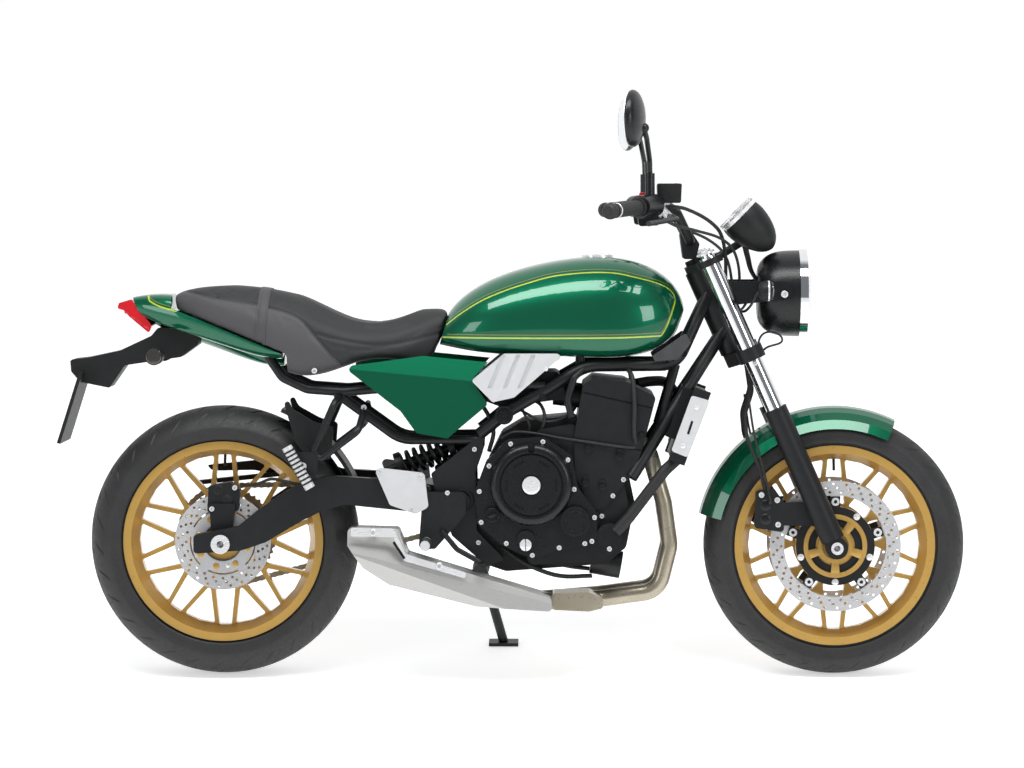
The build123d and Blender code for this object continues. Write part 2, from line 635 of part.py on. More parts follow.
def bodywork():
    """Tank, seat, tail, side covers and their trims."""
    tank_outline = [(0, 0), (0.5, 0.0), (0.88, 0.07), (1.0, 0.34), (0.88, 0.7), (0.5, 0.95), (0, 1)]
    tank = lofted(TANK_SECTIONS, tank_outline)
    cap = rod((860, 0, 940), (860, 0, 966), 36)
    seat_outline = [(0, 0), (0.5, 0.0), (0.9, 0.07), (1.0, 0.4), (0.86, 0.84), (0.45, 0.99), (0, 1)]
    rear_x, front_x = SEAT_SPLIT[0][0], SEAT_SPLIT[-1][0]
    below = slab([*SEAT_SPLIT, (front_x, 500), (rear_x, 500)], -200, 200)
    seam = [(x, z - SEAT_SEAM) for x, z in SEAT_SPLIT]
    above = slab([*seam, (front_x, 1100), (rear_x, 1100)], -200, 200)
    seat = lofted(SEAT_SECTIONS, seat_outline) - below - seat_pegs()
    tail_outline = [(0, 0), (0.85, 0.1), (1.0, 0.5), (0.8, 0.9), (0, 1)]
    tail = lofted(TAIL_SECTIONS, tail_outline) - above - tail_rails() - rod((-60, -60, 795),
        (-60, 60, 795), 11)
    lamp = slab(TAIL_LAMP, -44, 44, 4)
    cover = slab(SIDE_COVER, 122, COVER_FACE, 9) + rod((560, 96, 680), (560, 124, 680), 8)
    trim = slab(SIDE_TRIM, 128, 152, 6) + rod((690, 106, 674), (690, 130, 674), 8)
    for index in range(3):
        groove = slab([(640 + 34 * index, 742), (650 + 34 * index, 742), (620 + 34 * index, 668),
            (610 + 34 * index, 668)], 148, 156)
        trim -= groove
    panel = slab([(984, 738), (1060, 790), (1072, 768), (1042, 730), (990, 726)], 98, 106, 5)
    panel += rod((1024, 70, 728), (1024, 100, 740), 7)
    return {
        "fuel_tank": tank,
        "fuel_cap": cap,
        "seat": seat,
        "tail_cowl": tail,
        "tail_lamp": lamp,
        "side_covers": pair(bevelled(cover, (284, 711), (573, 683), 24, COVER_FACE)),
        "side_trims": pair(trim),
        "tank_panels": pair(panel),
    }


def rear_fittings():
    """Plate holder, flap, rear indicators, hugger, chain guard and caliper."""
    holder = slab(PLATE_HOLDER, -42, 42, 6)
    flap = slab([(-318, 700), (-326, 700), (-378, 538), (-370, 536)], -88, 88)
    indicator = rod((-150, 40, 738), (-150, 84, 738), 6) + rod((-150, 84, 738), (-150, 128, 738), 20)
    arch = [(-64, 326), (-58, 334), (58, 334), (64, 326), (58, 330), (-58, 330)]
    hugger = turned(arch, REAR_AXLE, 46, 24)
    hugger += slab([(296, 446), (352, 446), (352, 408), (308, 408)], -40, 40)
    guard = slab([(-77, 438), (96, 457), (240, 470), (240, 462), (96, 446), (-77, 428)], 84, 106, 2)
    caliper = slab([(-34, 376), (-30, 440), (20, 449), (42, 430), (38, 380), (0, 392)], -92, -54, 6)
    caliper += slab([(-24, 334), (24, 338), (32, 400), (-28, 400)], -99.7, -84, 4)
    disc_right = -REAR_DISC_Y - DISC_THICKNESS
    caliper -= across(REAR_AXLE, REAR_DISC_RADIUS + 5, disc_right - PAD_GAP, -REAR_DISC_Y + PAD_GAP)
    return {
        "plate_holder": holder + flap,
        "rear_indicators": pair(indicator),
        "rear_hugger": hugger + guard,
        "rear_caliper": caliper,
    }


def rests():
    """Hangers, footrests and foot controls."""
    rear_hanger = bent_tube([(272, 88, 645), (262, 140, 634), (196, 150, 480), (316, 150, 570),
        (326, 87, 614)], 8, [20, 14, 20])
    rear_hanger += block(174, 224, 142, 158, 470, 522)
    rider_hanger = slab(HEEL_PLATE, 138, 144, 10)
    lower_hanger = slab([(462, 430), (560, 430), (560, 380), (490, 300), (452, 300)], 130, 138, 10)
    plate_face = PIVOT_PLATE_Y + PIVOT_PLATE_WALL
    lower_hanger += across((525, 420), 8, plate_face, 132) + across((518, 362), 8, plate_face, 132)
    peg = rod((470, 138, 316), (470, 232, 316), 11)
    passenger_peg = rod((208, 170.2, 441), (155, 170.2, 535), 12)
    passenger_peg += rod((190, 158.2, 490), (190, 168, 490), 9)
    pedal = bent_tube([(505, 144.3, 342), (540, 148, 300), (601, 152, 267), (601, 190, 267)], 6,
        [20, 20])
    return {
        "footrest_hangers": pair(rear_hanger + lower_hanger),
        "heel_plates": pair(rider_hanger),
        "footrests": pair(peg + passenger_peg),
        "foot_controls": pair(pedal),
    }


def side_stand():
    """The leg on its pivot, down, with its foot flat on the ground."""
    plane = Plane(origin=STAND_PIVOT, z_dir=STAND_AXIS)
    foot = Vector(STAND_FOOT_X, STAND_FOOT_Y, ground_height(STAND_FOOT_Y))
    along = (foot - plane.origin).normalized()
    leg = rod(plane.origin + along * 15, foot + Vector(0, 0, 6), 11)
    knuckle = extrude(plane * Pos(0, 0, -11.6) * Circle(20), 20)
    bolt_hole = extrude(plane * Pos(0, 0, -60) * Circle(STAND_BOLT_RADIUS + AXLE_PLAY), 120)
    pad = Pos(*foot) * Rot(X=PARKED_LEAN) * Pos(0, 0, 4) * Box(70, 40, 8)
    return {"side_stand_leg": leg + knuckle + pad - bolt_hole}


# Front end


def fork():
    """Yokes on the steering stem, chromed tubes and cast sliders with the axle clamped between."""
    def yoke(height, depth, boss):
        plane = Plane(origin=on_fork(height, 0, 0), x_dir=FORK_AHEAD, z_dir=FORK_UP)
        side = FORK_HALF_SPACING
        outline = [(-26, -22), (-26, 22), (8, side - 4), (52, side), (52, -side), (8, 4 - side)]
        body = extrude(plane * make_face(FilletPolyline(*outline, radius=9, close=True)), depth)
        for side in (-FORK_HALF_SPACING, FORK_HALF_SPACING):
            body += rod(on_fork(height, side), on_fork(height + depth, side), boss)
        return body

    yokes = yoke(LOWER_YOKE, LOWER_YOKE_DEPTH, 31) + yoke(UPPER_YOKE, UPPER_YOKE_DEPTH, 30)
    yokes += rod(headstock_point(LOWER_YOKE), headstock_point(UPPER_YOKE + 22), STEM_RADIUS)
    yokes += rod(headstock_point(UPPER_YOKE), headstock_point(UPPER_YOKE + 26), 20)
    tubes = rod(on_fork(SLIDER_TOP + 0.1, FORK_HALF_SPACING), on_fork(FORK_TUBE_TOP, FORK_HALF_SPACING),
        FORK_TUBE_RADIUS)
    tubes += rod(on_fork(FORK_TUBE_TOP, FORK_HALF_SPACING),
        on_fork(FORK_TUBE_TOP + 9, FORK_HALF_SPACING), 12)
    slider = rod(on_fork(20, FORK_HALF_SPACING), on_fork(SLIDER_TOP, FORK_HALF_SPACING), SLIDER_RADIUS)
    lug = across(FRONT_AXLE, 25, FORK_HALF_SPACING - 22, FORK_HALF_SPACING + 22)
    lug += slab([(1276, 350), (1278, 402), (1352, 404), (1372, 348)], 80, 92, 6)
    hole = across(FRONT_AXLE, FRONT_AXLE_RADIUS, 0, FORK_HALF_SPACING + 60)
    axle = across(FRONT_AXLE, FRONT_AXLE_RADIUS, -FORK_HALF_SPACING - 26, FORK_HALF_SPACING + 26)
    collar = across(FRONT_AXLE, 17, FRONT_HUB_HALF + SIDE_PLAY, FORK_HALF_SPACING - 22)
    axle += pair(collar)
    axle -= across(FRONT_AXLE, FRONT_AXLE_BORE, -200, 200)
    return {
        "fork_yokes": yokes - pair(tubes),
        "fork_tubes": pair(tubes),
        "fork_sliders": pair(slider + lug - hole),
        "front_axle": axle,
    }


def front_fender():
    """A thin arch over the tyre with bolted lugs to the sliders."""
    inner, wall = FRONT_TYRE_CROWN + 15, 4
    ring_radius = FRONT_TYRE_RADIUS - FRONT_TYRE_CROWN
    profile = []
    for radius, angles in ((inner + wall, range(-68, 69, 17)), (inner, range(68, -69, -17))):
        for angle in angles:
            profile.append((radius * sin(radians(angle)), ring_radius + radius * cos(radians(angle))))
    arch = turned(profile, FRONT_AXLE, 103, -77)
    lugs = rod(on_fork(262, 68), on_fork(262, 80), 12) + rod(on_fork(300, 66), on_fork(300, 80), 12)
    return {"front_fender": arch + pair(lugs)}


def by_yoke(x, side, z):
    """A point set off forward and up from the middle of the fork at the upper yoke."""
    home = on_fork(UPPER_YOKE)
    return Vector(home.X + x, side, home.Z + z)


def yoke_shift():
    """How far the upper yoke stands from where the outlines around it were drawn."""
    home = by_yoke(0, 0, 0)
    return Pos(home.X - LAYOUT_YOKE[0], 0, home.Z - LAYOUT_YOKE[1])


def handlebar():
    """Bar, grips, controls, levers and mirrors."""
    end = by_yoke(-229, 390, 124)
    run = (by_yoke(-109, 174, 139) - end).normalized()
    right = [by_yoke(-46, 58, 53), by_yoke(-80, 118, 121), by_yoke(-109, 174, 139), end]
    left = [Vector(point.X, -point.Y, point.Z) for point in reversed(right)]
    bar = bent_tube([*left, *right], BAR_RADIUS, [50, 36, 30, 30, 36, 50])
    bore = BAR_RADIUS + AXLE_PLAY
    weight = spun(end - run * 22, end, [(0, 13), (5, 17), (12, 18), (22, 17)])
    grip = rod(end + run * 4, end + run * 124, 16.5, bore) + rod(end + run * 118, end + run * 126, 20,
        bore)
    housing = rod(end + run * 128, end + run * 198, 26)
    layout = yoke_shift()
    switch_box = layout * slab([(944, 1078), (992, 1082), (996, 1036), (950, 1034)], 216, 252, 7)
    housing = housing + switch_box - rod(end + run * 90, end + run * 230, bore)
    reservoir = layout * slab([(994, 1122), (1044, 1122), (1040, 1088), (998, 1088)], -214, -172, 7)
    reservoir += layout * slab([(991, 1129), (1047, 1129), (1047, 1121), (991, 1121)], -217, -169, 3)
    neck_foot = end + run * 209
    reservoir += rod((neck_foot.X, -neck_foot.Y, neck_foot.Z + 8), by_yoke(-100, -196, 146), 9)
    pivot = by_yoke(-100, 196, 112)
    perch = rod(by_yoke(-122, 206, 134), pivot, 9)
    perch -= rod(end, end + run * 240, 16)
    perch += rod(end + run * 200, end + run * 218, 18, bore)
    lever = bent_tube([pivot, by_yoke(-84, 262, 106), by_yoke(-150, 392, 96)], 6, [16])
    collar = rod(by_yoke(-143, 228, 150), by_yoke(-143, 228, 208), 11)
    stem = bent_tube([by_yoke(-143, 228, 200), by_yoke(-144, 240, 236), by_yoke(-152, 296, 284),
        by_yoke(-158, 318, 306)], 6, [16, 24])
    joint = Pos(*by_yoke(-158, 319, 307)) * Sphere(11)
    glass = by_yoke(-189, 324, 328)
    head = spun(glass, glass + Vector(20, 5, 0), [(0, 61), (5, 63.5), (13, 61), (22, 49), (29, 28),
        (32, 2)])
    clamp = slab([(1048, 1018), (1074, 1022), (1094, 992), (1086, 957), (1056, 957)], 10, 36, 7)
    return {
        "handlebar": bar,
        "hand_grips": pair(grip + weight),
        "hand_controls": pair(housing),
        "lever_perches": pair(perch) + reservoir,
        "hand_levers": pair(lever),
        "mirrors": pair(collar + stem + joint + head),
        "bar_clamps": pair(layout * clamp),
    }


def front_lights():
    """Headlamp, instruments and front indicators."""
    back = by_yoke(110, 0, -67)
    bowl = spun(back, back + FORE, [(0, 56), (8, 74), (30, 91), (62, 98), (94, 99)])
    mouth = back + FORE * 94.1
    bowl -= spun(mouth, mouth - FORE, [(0, 90), (18, 84), (36, 68), (48, 44), (53, 4)])
    rim = rod(mouth, mouth + FORE * 18, 102, 91)
    glass_base = mouth + FORE * 3.2
    curve = [(0, 90.8), (10, 89), (18, 76), (24, 52), (27, 26), (28, 2)]
    lens = spun(glass_base, glass_base + FORE, curve)
    hollow = [(at, max(radius - 2, 1)) for at, radius in curve]
    lens -= spun(glass_base - FORE * 4, glass_base + FORE, hollow)
    bracket = [(1126, 908), (1270, 908), (1304, 896), (1304, 868), (1150, 852)]
    layout = yoke_shift()
    face, nose = by_yoke(62, 52, 117), by_yoke(148, 52, 31)
    shell = [(0, 44), (12, 48), (36, 49), (66, 43), (92, 31), (108, 15), (113, 2)]
    arm_end = by_yoke(99, 0, 66)
    arm = rod(on_fork(ARM_FOOT, 0, ARM_FORE), arm_end, 9)
    arm += rod(arm_end - LEFT * 24, arm_end + LEFT * 24, 9)
    stalk = rod(by_yoke(120, 104, -57), by_yoke(120, 150, -57), 6)
    lamp = spun(by_yoke(104, 172, -57), by_yoke(136, 172, -57),
        [(0, 12), (6, 20), (16, 23), (26, 22), (30, 20)])
    return {
        "headlamp_bucket": bowl + pair(layout * slab(bracket, 98, 104, 6)),
        "headlamp_rim": rim,
        "headlamp_lens": lens,
        "instrument_pods": arm + pair(spun(face, nose, shell)),
        "front_indicators": pair(stalk + lamp),
    }


def front_brakes():
    """Calipers on the sliders and the hoses up to the handlebar."""
    outer_face = FRONT_DISC_Y + DISC_THICKNESS + PAD_GAP
    caliper = slab([(1218, 344), (1222, 428), (1262, 436), (1288, 400), (1285, 334)], outer_face, 92, 8)
    inner_half = slab([(1218, 344), (1222, 428), (1262, 436), (1288, 400), (1285, 334)], 50, 80, 8)
    caliper += inner_half & across(FRONT_AXLE, WINDOW_RADIUS - 10, 40, 90)
    slot = across(FRONT_AXLE, FRONT_DISC_RADIUS + 5, FRONT_DISC_Y - PAD_GAP, outer_face)
    hose = bent_tube([(1243, 86, 430), (1231, 84, 476), (1201, 72, 551), (1196, 66, 601),
        (1214, 60, 656), (1204, 52, 720)], 4.5, [40, 60, 60, 40])
    return {"front_calipers": pair(caliper - slot), "brake_hoses": pair(hose)}


# Parking on the side stand

LIFT = REAR_TYRE_CROWN * (1 - cos(radians(PARKED_LEAN)))


def ground_height(y):
    """Height in the upright frame at which the ground lies once the machine leans over."""
    lean = radians(PARKED_LEAN)
    return (y * sin(lean) - LIFT) / cos(lean)


# Volume in cubic millimetres under which a chip that a relief leaves is dropped
CRUMB = 5.0
# Which pieces are relieved where a neighbour passes through or seats in them
GIVES_WAY = {
    "crankcase": ["main_frame"],
    "cylinder_head": ["crankcase", "main_frame"],
    "engine_covers": ["crankcase", "cylinder_head", "main_frame"],
    "intake": ["cylinder_head"],
    "exhaust_pipes": ["cylinder_head", "crankcase", "muffler"],
    "heat_guard": ["muffler"],
    "oil_filter": ["crankcase"],
    "radiator": ["main_frame"],
    "coolant_hoses": ["radiator", "engine_covers", "main_frame", "crankcase", "cylinder_head"],
    "fuel_tank": ["main_frame"],
    "fuel_cap": ["fuel_tank"],
    "side_covers": ["main_frame"],
    "side_trims": ["main_frame"],
    "footrest_hangers": ["main_frame"],
    "instrument_pods": ["fork_yokes"],
    "tail_cowl": ["tail_lamp", "plate_holder"],
    "plate_holder": ["main_frame"],
    "rear_indicators": ["plate_holder"],
    "rear_hugger": ["swingarm"],
    "rear_shock": ["swingarm"],
    "front_fender": ["fork_sliders"],
    "headlamp_bucket": ["fork_tubes"],
    "headlamp_lens": ["headlamp_rim"],
    "front_calipers": ["fork_sliders"],
    "brake_hoses": ["front_calipers"],
    "hand_controls": ["handlebar"],
    "hand_levers": ["lever_perches", "hand_controls"],
    "mirrors": ["hand_controls"],
    "bar_clamps": ["handlebar", "fork_yokes"],
    "lever_perches": ["handlebar", "hand_controls"],
    "tank_panels": ["main_frame", "fuel_tank"],
}


def main():
    pieces = {
        "main_frame": main_frame(),
        "swingarm": swingarm(),
        "rear_axle": rear_axle(),
        "rear_shock": rear_shock(),
        "intake": intake(),
        "radiator": radiator(),
        "radiator_guards": radiator_guards(),
        "coolant_hoses": coolant_hoses(),
        "drive_chain": drive_chain(),
    }
    for group in (
        engine(), exhaust(), bodywork(), rear_fittings(), rests(), side_stand(), fork(), front_fender(),
        handlebar(), front_lights(), front_brakes(), front_wheel(), rear_wheel(),
    ):
        pieces.update(group)
    placed = Pos(-CENTRE_X, -CENTRE_Y, LIFT) * Rot(X=-PARKED_LEAN)
    for name, neighbours in GIVES_WAY.items():
        for neighbour in neighbours:
            pieces[name] -= pieces[neighbour]
        pieces[name] = Compound([solid for solid in pieces[name].solids() if solid.volume > CRUMB])
    for name, piece in pieces.items():
        export_step(placed * piece, f"parts/{name}.step")


main()
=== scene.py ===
"""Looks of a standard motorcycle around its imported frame: materials, soft goods, tread, trim and studio."""

import json
from bisect import bisect_right
from math import acos, atan2, cos, exp, pi, radians, sin
import bmesh
import bpy
from mathutils import Matrix, Vector
from mathutils.bvhtree import BVHTree
from mathutils.geometry import interpolate_bezier
from mathutils.kdtree import KDTree


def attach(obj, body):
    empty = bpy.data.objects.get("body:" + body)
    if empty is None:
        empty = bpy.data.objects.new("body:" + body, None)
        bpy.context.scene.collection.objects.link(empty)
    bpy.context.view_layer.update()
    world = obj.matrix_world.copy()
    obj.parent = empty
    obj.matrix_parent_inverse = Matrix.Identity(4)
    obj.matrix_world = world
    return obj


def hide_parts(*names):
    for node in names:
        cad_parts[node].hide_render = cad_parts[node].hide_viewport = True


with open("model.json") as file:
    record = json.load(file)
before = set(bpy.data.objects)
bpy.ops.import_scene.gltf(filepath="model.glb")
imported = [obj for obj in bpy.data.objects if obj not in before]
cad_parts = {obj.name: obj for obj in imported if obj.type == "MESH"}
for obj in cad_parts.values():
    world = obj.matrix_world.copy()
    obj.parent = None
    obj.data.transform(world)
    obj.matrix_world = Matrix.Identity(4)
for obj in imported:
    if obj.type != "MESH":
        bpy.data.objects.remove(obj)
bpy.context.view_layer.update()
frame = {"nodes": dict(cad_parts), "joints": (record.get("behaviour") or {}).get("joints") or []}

MM = 0.001
scene = bpy.context.scene
NODES = frame["nodes"]
JOINTS = {joint["name"]: joint for joint in frame["joints"]}

# The machine's own upright axes, read from its joints: forward, to the rider's left, and up
LEFT = Vector(JOINTS["rear_wheel_spin"]["axis"]).normalized()
FORE = Vector((1, 0, 0))
UP = FORE.cross(LEFT)
REAR_AXLE = Vector(JOINTS["rear_wheel_spin"]["pos_m"])
FRONT_AXLE = Vector(JOINTS["front_wheel_spin"]["pos_m"])
REAR_RADIUS = 310.0
FRONT_RADIUS = 300.0
WHEELBASE = (FRONT_AXLE - REAR_AXLE).dot(FORE) / MM
GROUND = REAR_AXLE - UP * REAR_RADIUS * MM
BIKE = Matrix.Translation(GROUND) @ Matrix((FORE, LEFT, UP)).transposed().to_4x4() @ Matrix.Scale(MM, 4)
FORK_UP = BIKE.inverted().to_3x3() @ Vector(JOINTS["steering"]["axis"])
FORK_UP.normalize()
REAR_CENTRE = Vector((0, 0, REAR_RADIUS))
FRONT_CENTRE = Vector((WHEELBASE, 0, FRONT_RADIUS))
FORK_TUBES_TOP = 735.0

# Directions in upright millimetres
LEFT_MM = Vector((0, 1, 0))
RIGHT_MM = Vector((0, -1, 0))
UP_MM = Vector((0, 0, 1))


# Making meshes


def add(name, mesh, material, body, smooth=35):
    """Links a mesh drawn in upright millimetres, with its material, to a body."""
    if isinstance(mesh, bmesh.types.BMesh):
        data = bpy.data.meshes.new(name)
        mesh.to_mesh(data)
        mesh.free()
    else:
        data = mesh
    data.transform(BIKE)
    piece = bpy.data.objects.new(name, data)
    scene.collection.objects.link(piece)
    data.materials.clear()
    data.materials.append(material)
    shade(piece, smooth)
    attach(piece, body)
    return piece


def shade(piece, angle):
    """Smooth shading that keeps edges sharper than an angle."""
    data = piece.data
    data.polygons.foreach_set("use_smooth", [True] * len(data.polygons))
    data.set_sharp_from_angle(angle=radians(angle))


def frame_of(axis):
    """A rotation that takes z to an axis."""
    return Vector(axis).normalized().to_track_quat("Z", "Y").to_matrix().to_4x4()


def lathe(bm, profile, centre, axis, steps=48, arc=2 * pi, start=0.0):
    """Turns (radius, height) points about an axis through a centre."""
    turn = Matrix.Translation(centre) @ frame_of(axis)
    whole = abs(arc - 2 * pi) < 1e-6
    count = steps if whole else steps + 1
    rings = []
    for index in range(count):
        angle = start + arc * index / steps
        ring = []
        for radius, height in profile:
            ring.append(bm.verts.new(turn @ Vector((radius * cos(angle), radius * sin(angle), height))))
        rings.append(ring)
    for index in range(steps):
        first, second = rings[index], rings[(index + 1) % count]
        for low, high in zip(range(len(profile) - 1), range(1, len(profile))):
            bm.faces.new((first[low], second[low], second[high], first[high]))
    return rings


def lathe_mesh(profile, centre, axis, steps=48):
    """A closed turned mesh, its ends on the axis welded."""
    bm = bmesh.new()
    lathe(bm, profile, centre, axis, steps)
    bmesh.ops.remove_doubles(bm, verts=bm.verts, dist=1e-4)
    bmesh.ops.recalc_face_normals(bm, faces=bm.faces)
    return bm


# Materials


def new_material(name):
    """A material with its node tree and its Principled shader."""
    material = bpy.data.materials.new(name)
    material.use_nodes = True
    tree = material.node_tree
    return material, tree, tree.nodes["Principled BSDF"]


def feed(tree, target, sockets):
    """Sets a shader node's sockets: another node's output is linked, anything else is the value."""
    for key, value in sockets.items():
        if isinstance(value, bpy.types.NodeSocket):
            tree.links.new(value, target.inputs[key])
        else:
            target.inputs[key].default_value = value


def times(colour, factor):
    """A colour made darker or lighter."""
    return tuple(min(1, channel * factor) for channel in colour)


def node(tree, kind, sockets=None, **settings):
    """A new shader node with its settings, and its sockets fed."""
    made = tree.nodes.new(kind)
    for key, value in settings.items():
        setattr(made, key, value)
    feed(tree, made, sockets or {})
    return made


def grain(tree, scale, detail=4.0, kind="ShaderNodeTexNoise", stretch=(1, 1, 1)):
    """A noise or cell texture in the object's own metres."""
    place = node(tree, "ShaderNodeTexCoord")
    mapping = node(tree, "ShaderNodeMapping", {"Vector": place.outputs["Object"], "Scale": stretch})
    return node(tree, kind, {"Vector": mapping.outputs["Vector"], "Scale": scale, "Detail": detail})


def ramp(tree, source, low, high, low_value, high_value):
    """Maps a range of a value to two colours, or to two greys given as floats."""
    made = node(tree, "ShaderNodeValToRGB", {"Fac": source})
    stops = made.color_ramp.elements
    for index, place, value in ((0, low, low_value), (1, high, high_value)):
        stops[index].position = place
        stops[index].color = (value, value, value, 1) if isinstance(value, float) else (*value, 1)
    return made.outputs["Color"]


def bump(tree, shader, source, strength, distance):
    """Relief from a texture."""
    made = node(tree, "ShaderNodeBump", {"Height": source, "Strength": strength, "Distance": distance})
    feed(tree, shader, {"Normal": made.outputs["Normal"]})


def plain(name, colour, rough, metallic=0.0, vary=0.12, scale=40.0, relief=0.0, relief_scale=900.0, coat=0.0,
          coat_rough=0.05, specular=0.5):
    """A surface with slight changes of tone and gloss, and fine relief."""
    material, tree, shader = new_material(name)
    tone, fine = grain(tree, scale).outputs["Fac"], grain(tree, scale * 6).outputs["Fac"]
    feed(tree, shader, {
        "Base Color": ramp(tree, tone, 0.35, 0.65, times(colour, 1 - vary), times(colour, 1 + vary)),
        "Roughness": ramp(tree, fine, 0.3, 0.7, max(0.02, rough * 0.85), min(1.0, rough * 1.15)),
        "Metallic": metallic, "Specular IOR Level": specular, "Coat Weight": coat,
        "Coat Roughness": coat_rough})
    if relief:
        bump(tree, shader, grain(tree, relief_scale, 2.0).outputs["Fac"], relief, 0.0004)
    return material


def paint(name, colour):
    """Deep metallic paint: small flakes under a clear coat."""
    material, tree, shader = new_material(name)
    flakes = grain(tree, 2600.0, kind="ShaderNodeTexVoronoi").outputs["Distance"]
    feed(tree, shader, {
        "Base Color": ramp(tree, flakes, 0.1, 0.7, times(colour, 1.25), times(colour, 0.85)),
        "Metallic": 0.55, "Roughness": 0.32, "Coat Weight": 1.0, "Coat Roughness": 0.02,
        "Specular IOR Level": 0.0})
    bump(tree, shader, flakes, 0.03, 0.00005)
    return material


def brushed(name, colour, rough, stretch, strength, metallic):
    """Metal with fine lines in one direction."""
    material, tree, shader = new_material(name)
    lines = grain(tree, 60.0, 6.0, stretch=stretch).outputs["Fac"]
    feed(tree, shader, {
        "Base Color": ramp(tree, lines, 0.3, 0.7, times(colour, 0.92), colour),
        "Roughness": ramp(tree, lines, 0.3, 0.7, rough * 1.3, rough * 0.8),
        "Metallic": metallic})
    bump(tree, shader, lines, strength, 0.00015)
    return material


def disc_steel(name, centre, inner):
    """A rotor: a ground steel band around a dark carrier, told apart by the distance from the axle."""
    material, tree, shader = new_material(name)
    place = node(tree, "ShaderNodeTexCoord")
    offset = node(tree, "ShaderNodeVectorMath", {0: place.outputs["Object"], 1: centre},
                  operation="SUBTRACT")
    cross = node(tree, "ShaderNodeVectorMath", {0: offset.outputs["Vector"], 1: LEFT},
                 operation="CROSS_PRODUCT")
    length = node(tree, "ShaderNodeVectorMath", {0: cross.outputs["Vector"]}, operation="LENGTH")
    reach = length.outputs["Value"]
    edge = inner * MM
    band = ramp(tree, reach, edge - 0.0005, edge + 0.0005, 0.0, 1.0)
    rings = node(tree, "ShaderNodeMath", {0: reach, 1: 900.0}, operation="MULTIPLY").outputs["Value"]
    wave = node(tree, "ShaderNodeTexNoise", {"Scale": 3.0, "W": rings}, noise_dimensions="1D")
    tones = {"Factor": band, "A": (*ROTOR_CARRIER, 1), "B": (*ROTOR_BAND, 1)}
    feed(tree, shader, {
        "Base Color": node(tree, "ShaderNodeMix", tones, data_type="RGBA").outputs["Result"],
        "Roughness": ramp(tree, band, 0, 1, 0.45, 0.24),
        "Metallic": 0.45})
    bump(tree, shader, wave.outputs["Fac"], 0.15, 0.0002)
    return material


def tinted_pipe(name):
    """Header pipes: steel gone straw and brown with heat."""
    material, tree, shader = new_material(name)
    patches, fine = grain(tree, 9.0, 3.0).outputs["Fac"], grain(tree, 220.0, 3.0).outputs["Fac"]
    feed(tree, shader, {
        "Base Color": ramp(tree, patches, 0.35, 0.7, (0.46, 0.42, 0.33), (0.36, 0.31, 0.23)),
        "Roughness": ramp(tree, fine, 0.3, 0.7, 0.27, 0.31),
        "Metallic": 0.7})
    return material


def upright(tree, direction):
    """A shader value: millimetres along one of the machine's own axes."""
    place = node(tree, "ShaderNodeTexCoord")
    offset = node(tree, "ShaderNodeVectorMath", {0: place.outputs["Object"], 1: GROUND},
                  operation="SUBTRACT")
    dot = node(tree, "ShaderNodeVectorMath", {0: offset.outputs["Vector"], 1: direction / MM},
               operation="DOT_PRODUCT")
    return dot.outputs["Value"]


def above_line(tree, points, low, high):
    """A shader value that is 1 above a line of x and z points, and 0 below it."""
    first, last = points[0][0], points[-1][0]
    spread = node(tree, "ShaderNodeMapRange",
                  {"Value": upright(tree, FORE), "From Min": first, "From Max": last})
    curve = node(tree, "ShaderNodeFloatCurve", {"Value": spread.outputs["Result"]})
    line = curve.mapping.curves[0]
    line.points[0].location = (0, (points[0][1] - low) / (high - low))
    line.points[1].location = (1, (points[-1][1] - low) / (high - low))
    for x, z in points[1:-1]:
        line.points.new((x - first) / (last - first), (z - low) / (high - low))
    curve.mapping.update()
    level = node(tree, "ShaderNodeMapRange", {"Value": upright(tree, UP), "From Min": low, "From Max": high})
    over = node(tree, "ShaderNodeMath", {0: level.outputs["Result"], 1: curve.outputs["Value"]},
                operation="GREATER_THAN")
    return over.outputs["Value"]


def two_tone_leather(name, top, side, seam):
    """The seat's cover: one colour over a seam line and another under it."""
    material = seat_leather(name, top, 0.52)
    tree = material.node_tree
    shader = tree.nodes["Principled BSDF"]
    tones = {"Factor": above_line(tree, seam, 690, 900), "A": (*side, 1),
             "B": shader.inputs["Base Color"].links[0].from_socket}
    mix = node(tree, "ShaderNodeMix", tones, data_type="RGBA")
    feed(tree, shader, {"Base Color": mix.outputs["Result"]})
    return material


def seat_leather(name, colour, rough):
    """Grained vinyl of the seat."""
    material, tree, shader = new_material(name)
    pebbles = grain(tree, 700.0, kind="ShaderNodeTexVoronoi").outputs["Distance"]
    tone = grain(tree, 14.0).outputs["Fac"]
    feed(tree, shader, {
        "Base Color": ramp(tree, tone, 0.3, 0.7, times(colour, 0.85), colour),
        "Roughness": ramp(tree, pebbles, 0.0, 0.6, rough * 0.85, min(1.0, rough * 1.15)),
        "Specular IOR Level": 0.4})
    bump(tree, shader, pebbles, 0.35, 0.0004)
    return material


def glass(name, colour, rough):
    """Clear lens."""
    material, tree, shader = new_material(name)
    tone = grain(tree, 30.0).outputs["Fac"]
    feed(tree, shader, {
        "Base Color": (*colour, 1), "Transmission Weight": 1.0, "IOR": 1.45,
        "Roughness": ramp(tree, tone, 0.3, 0.7, rough, rough * 1.5)})
    return material


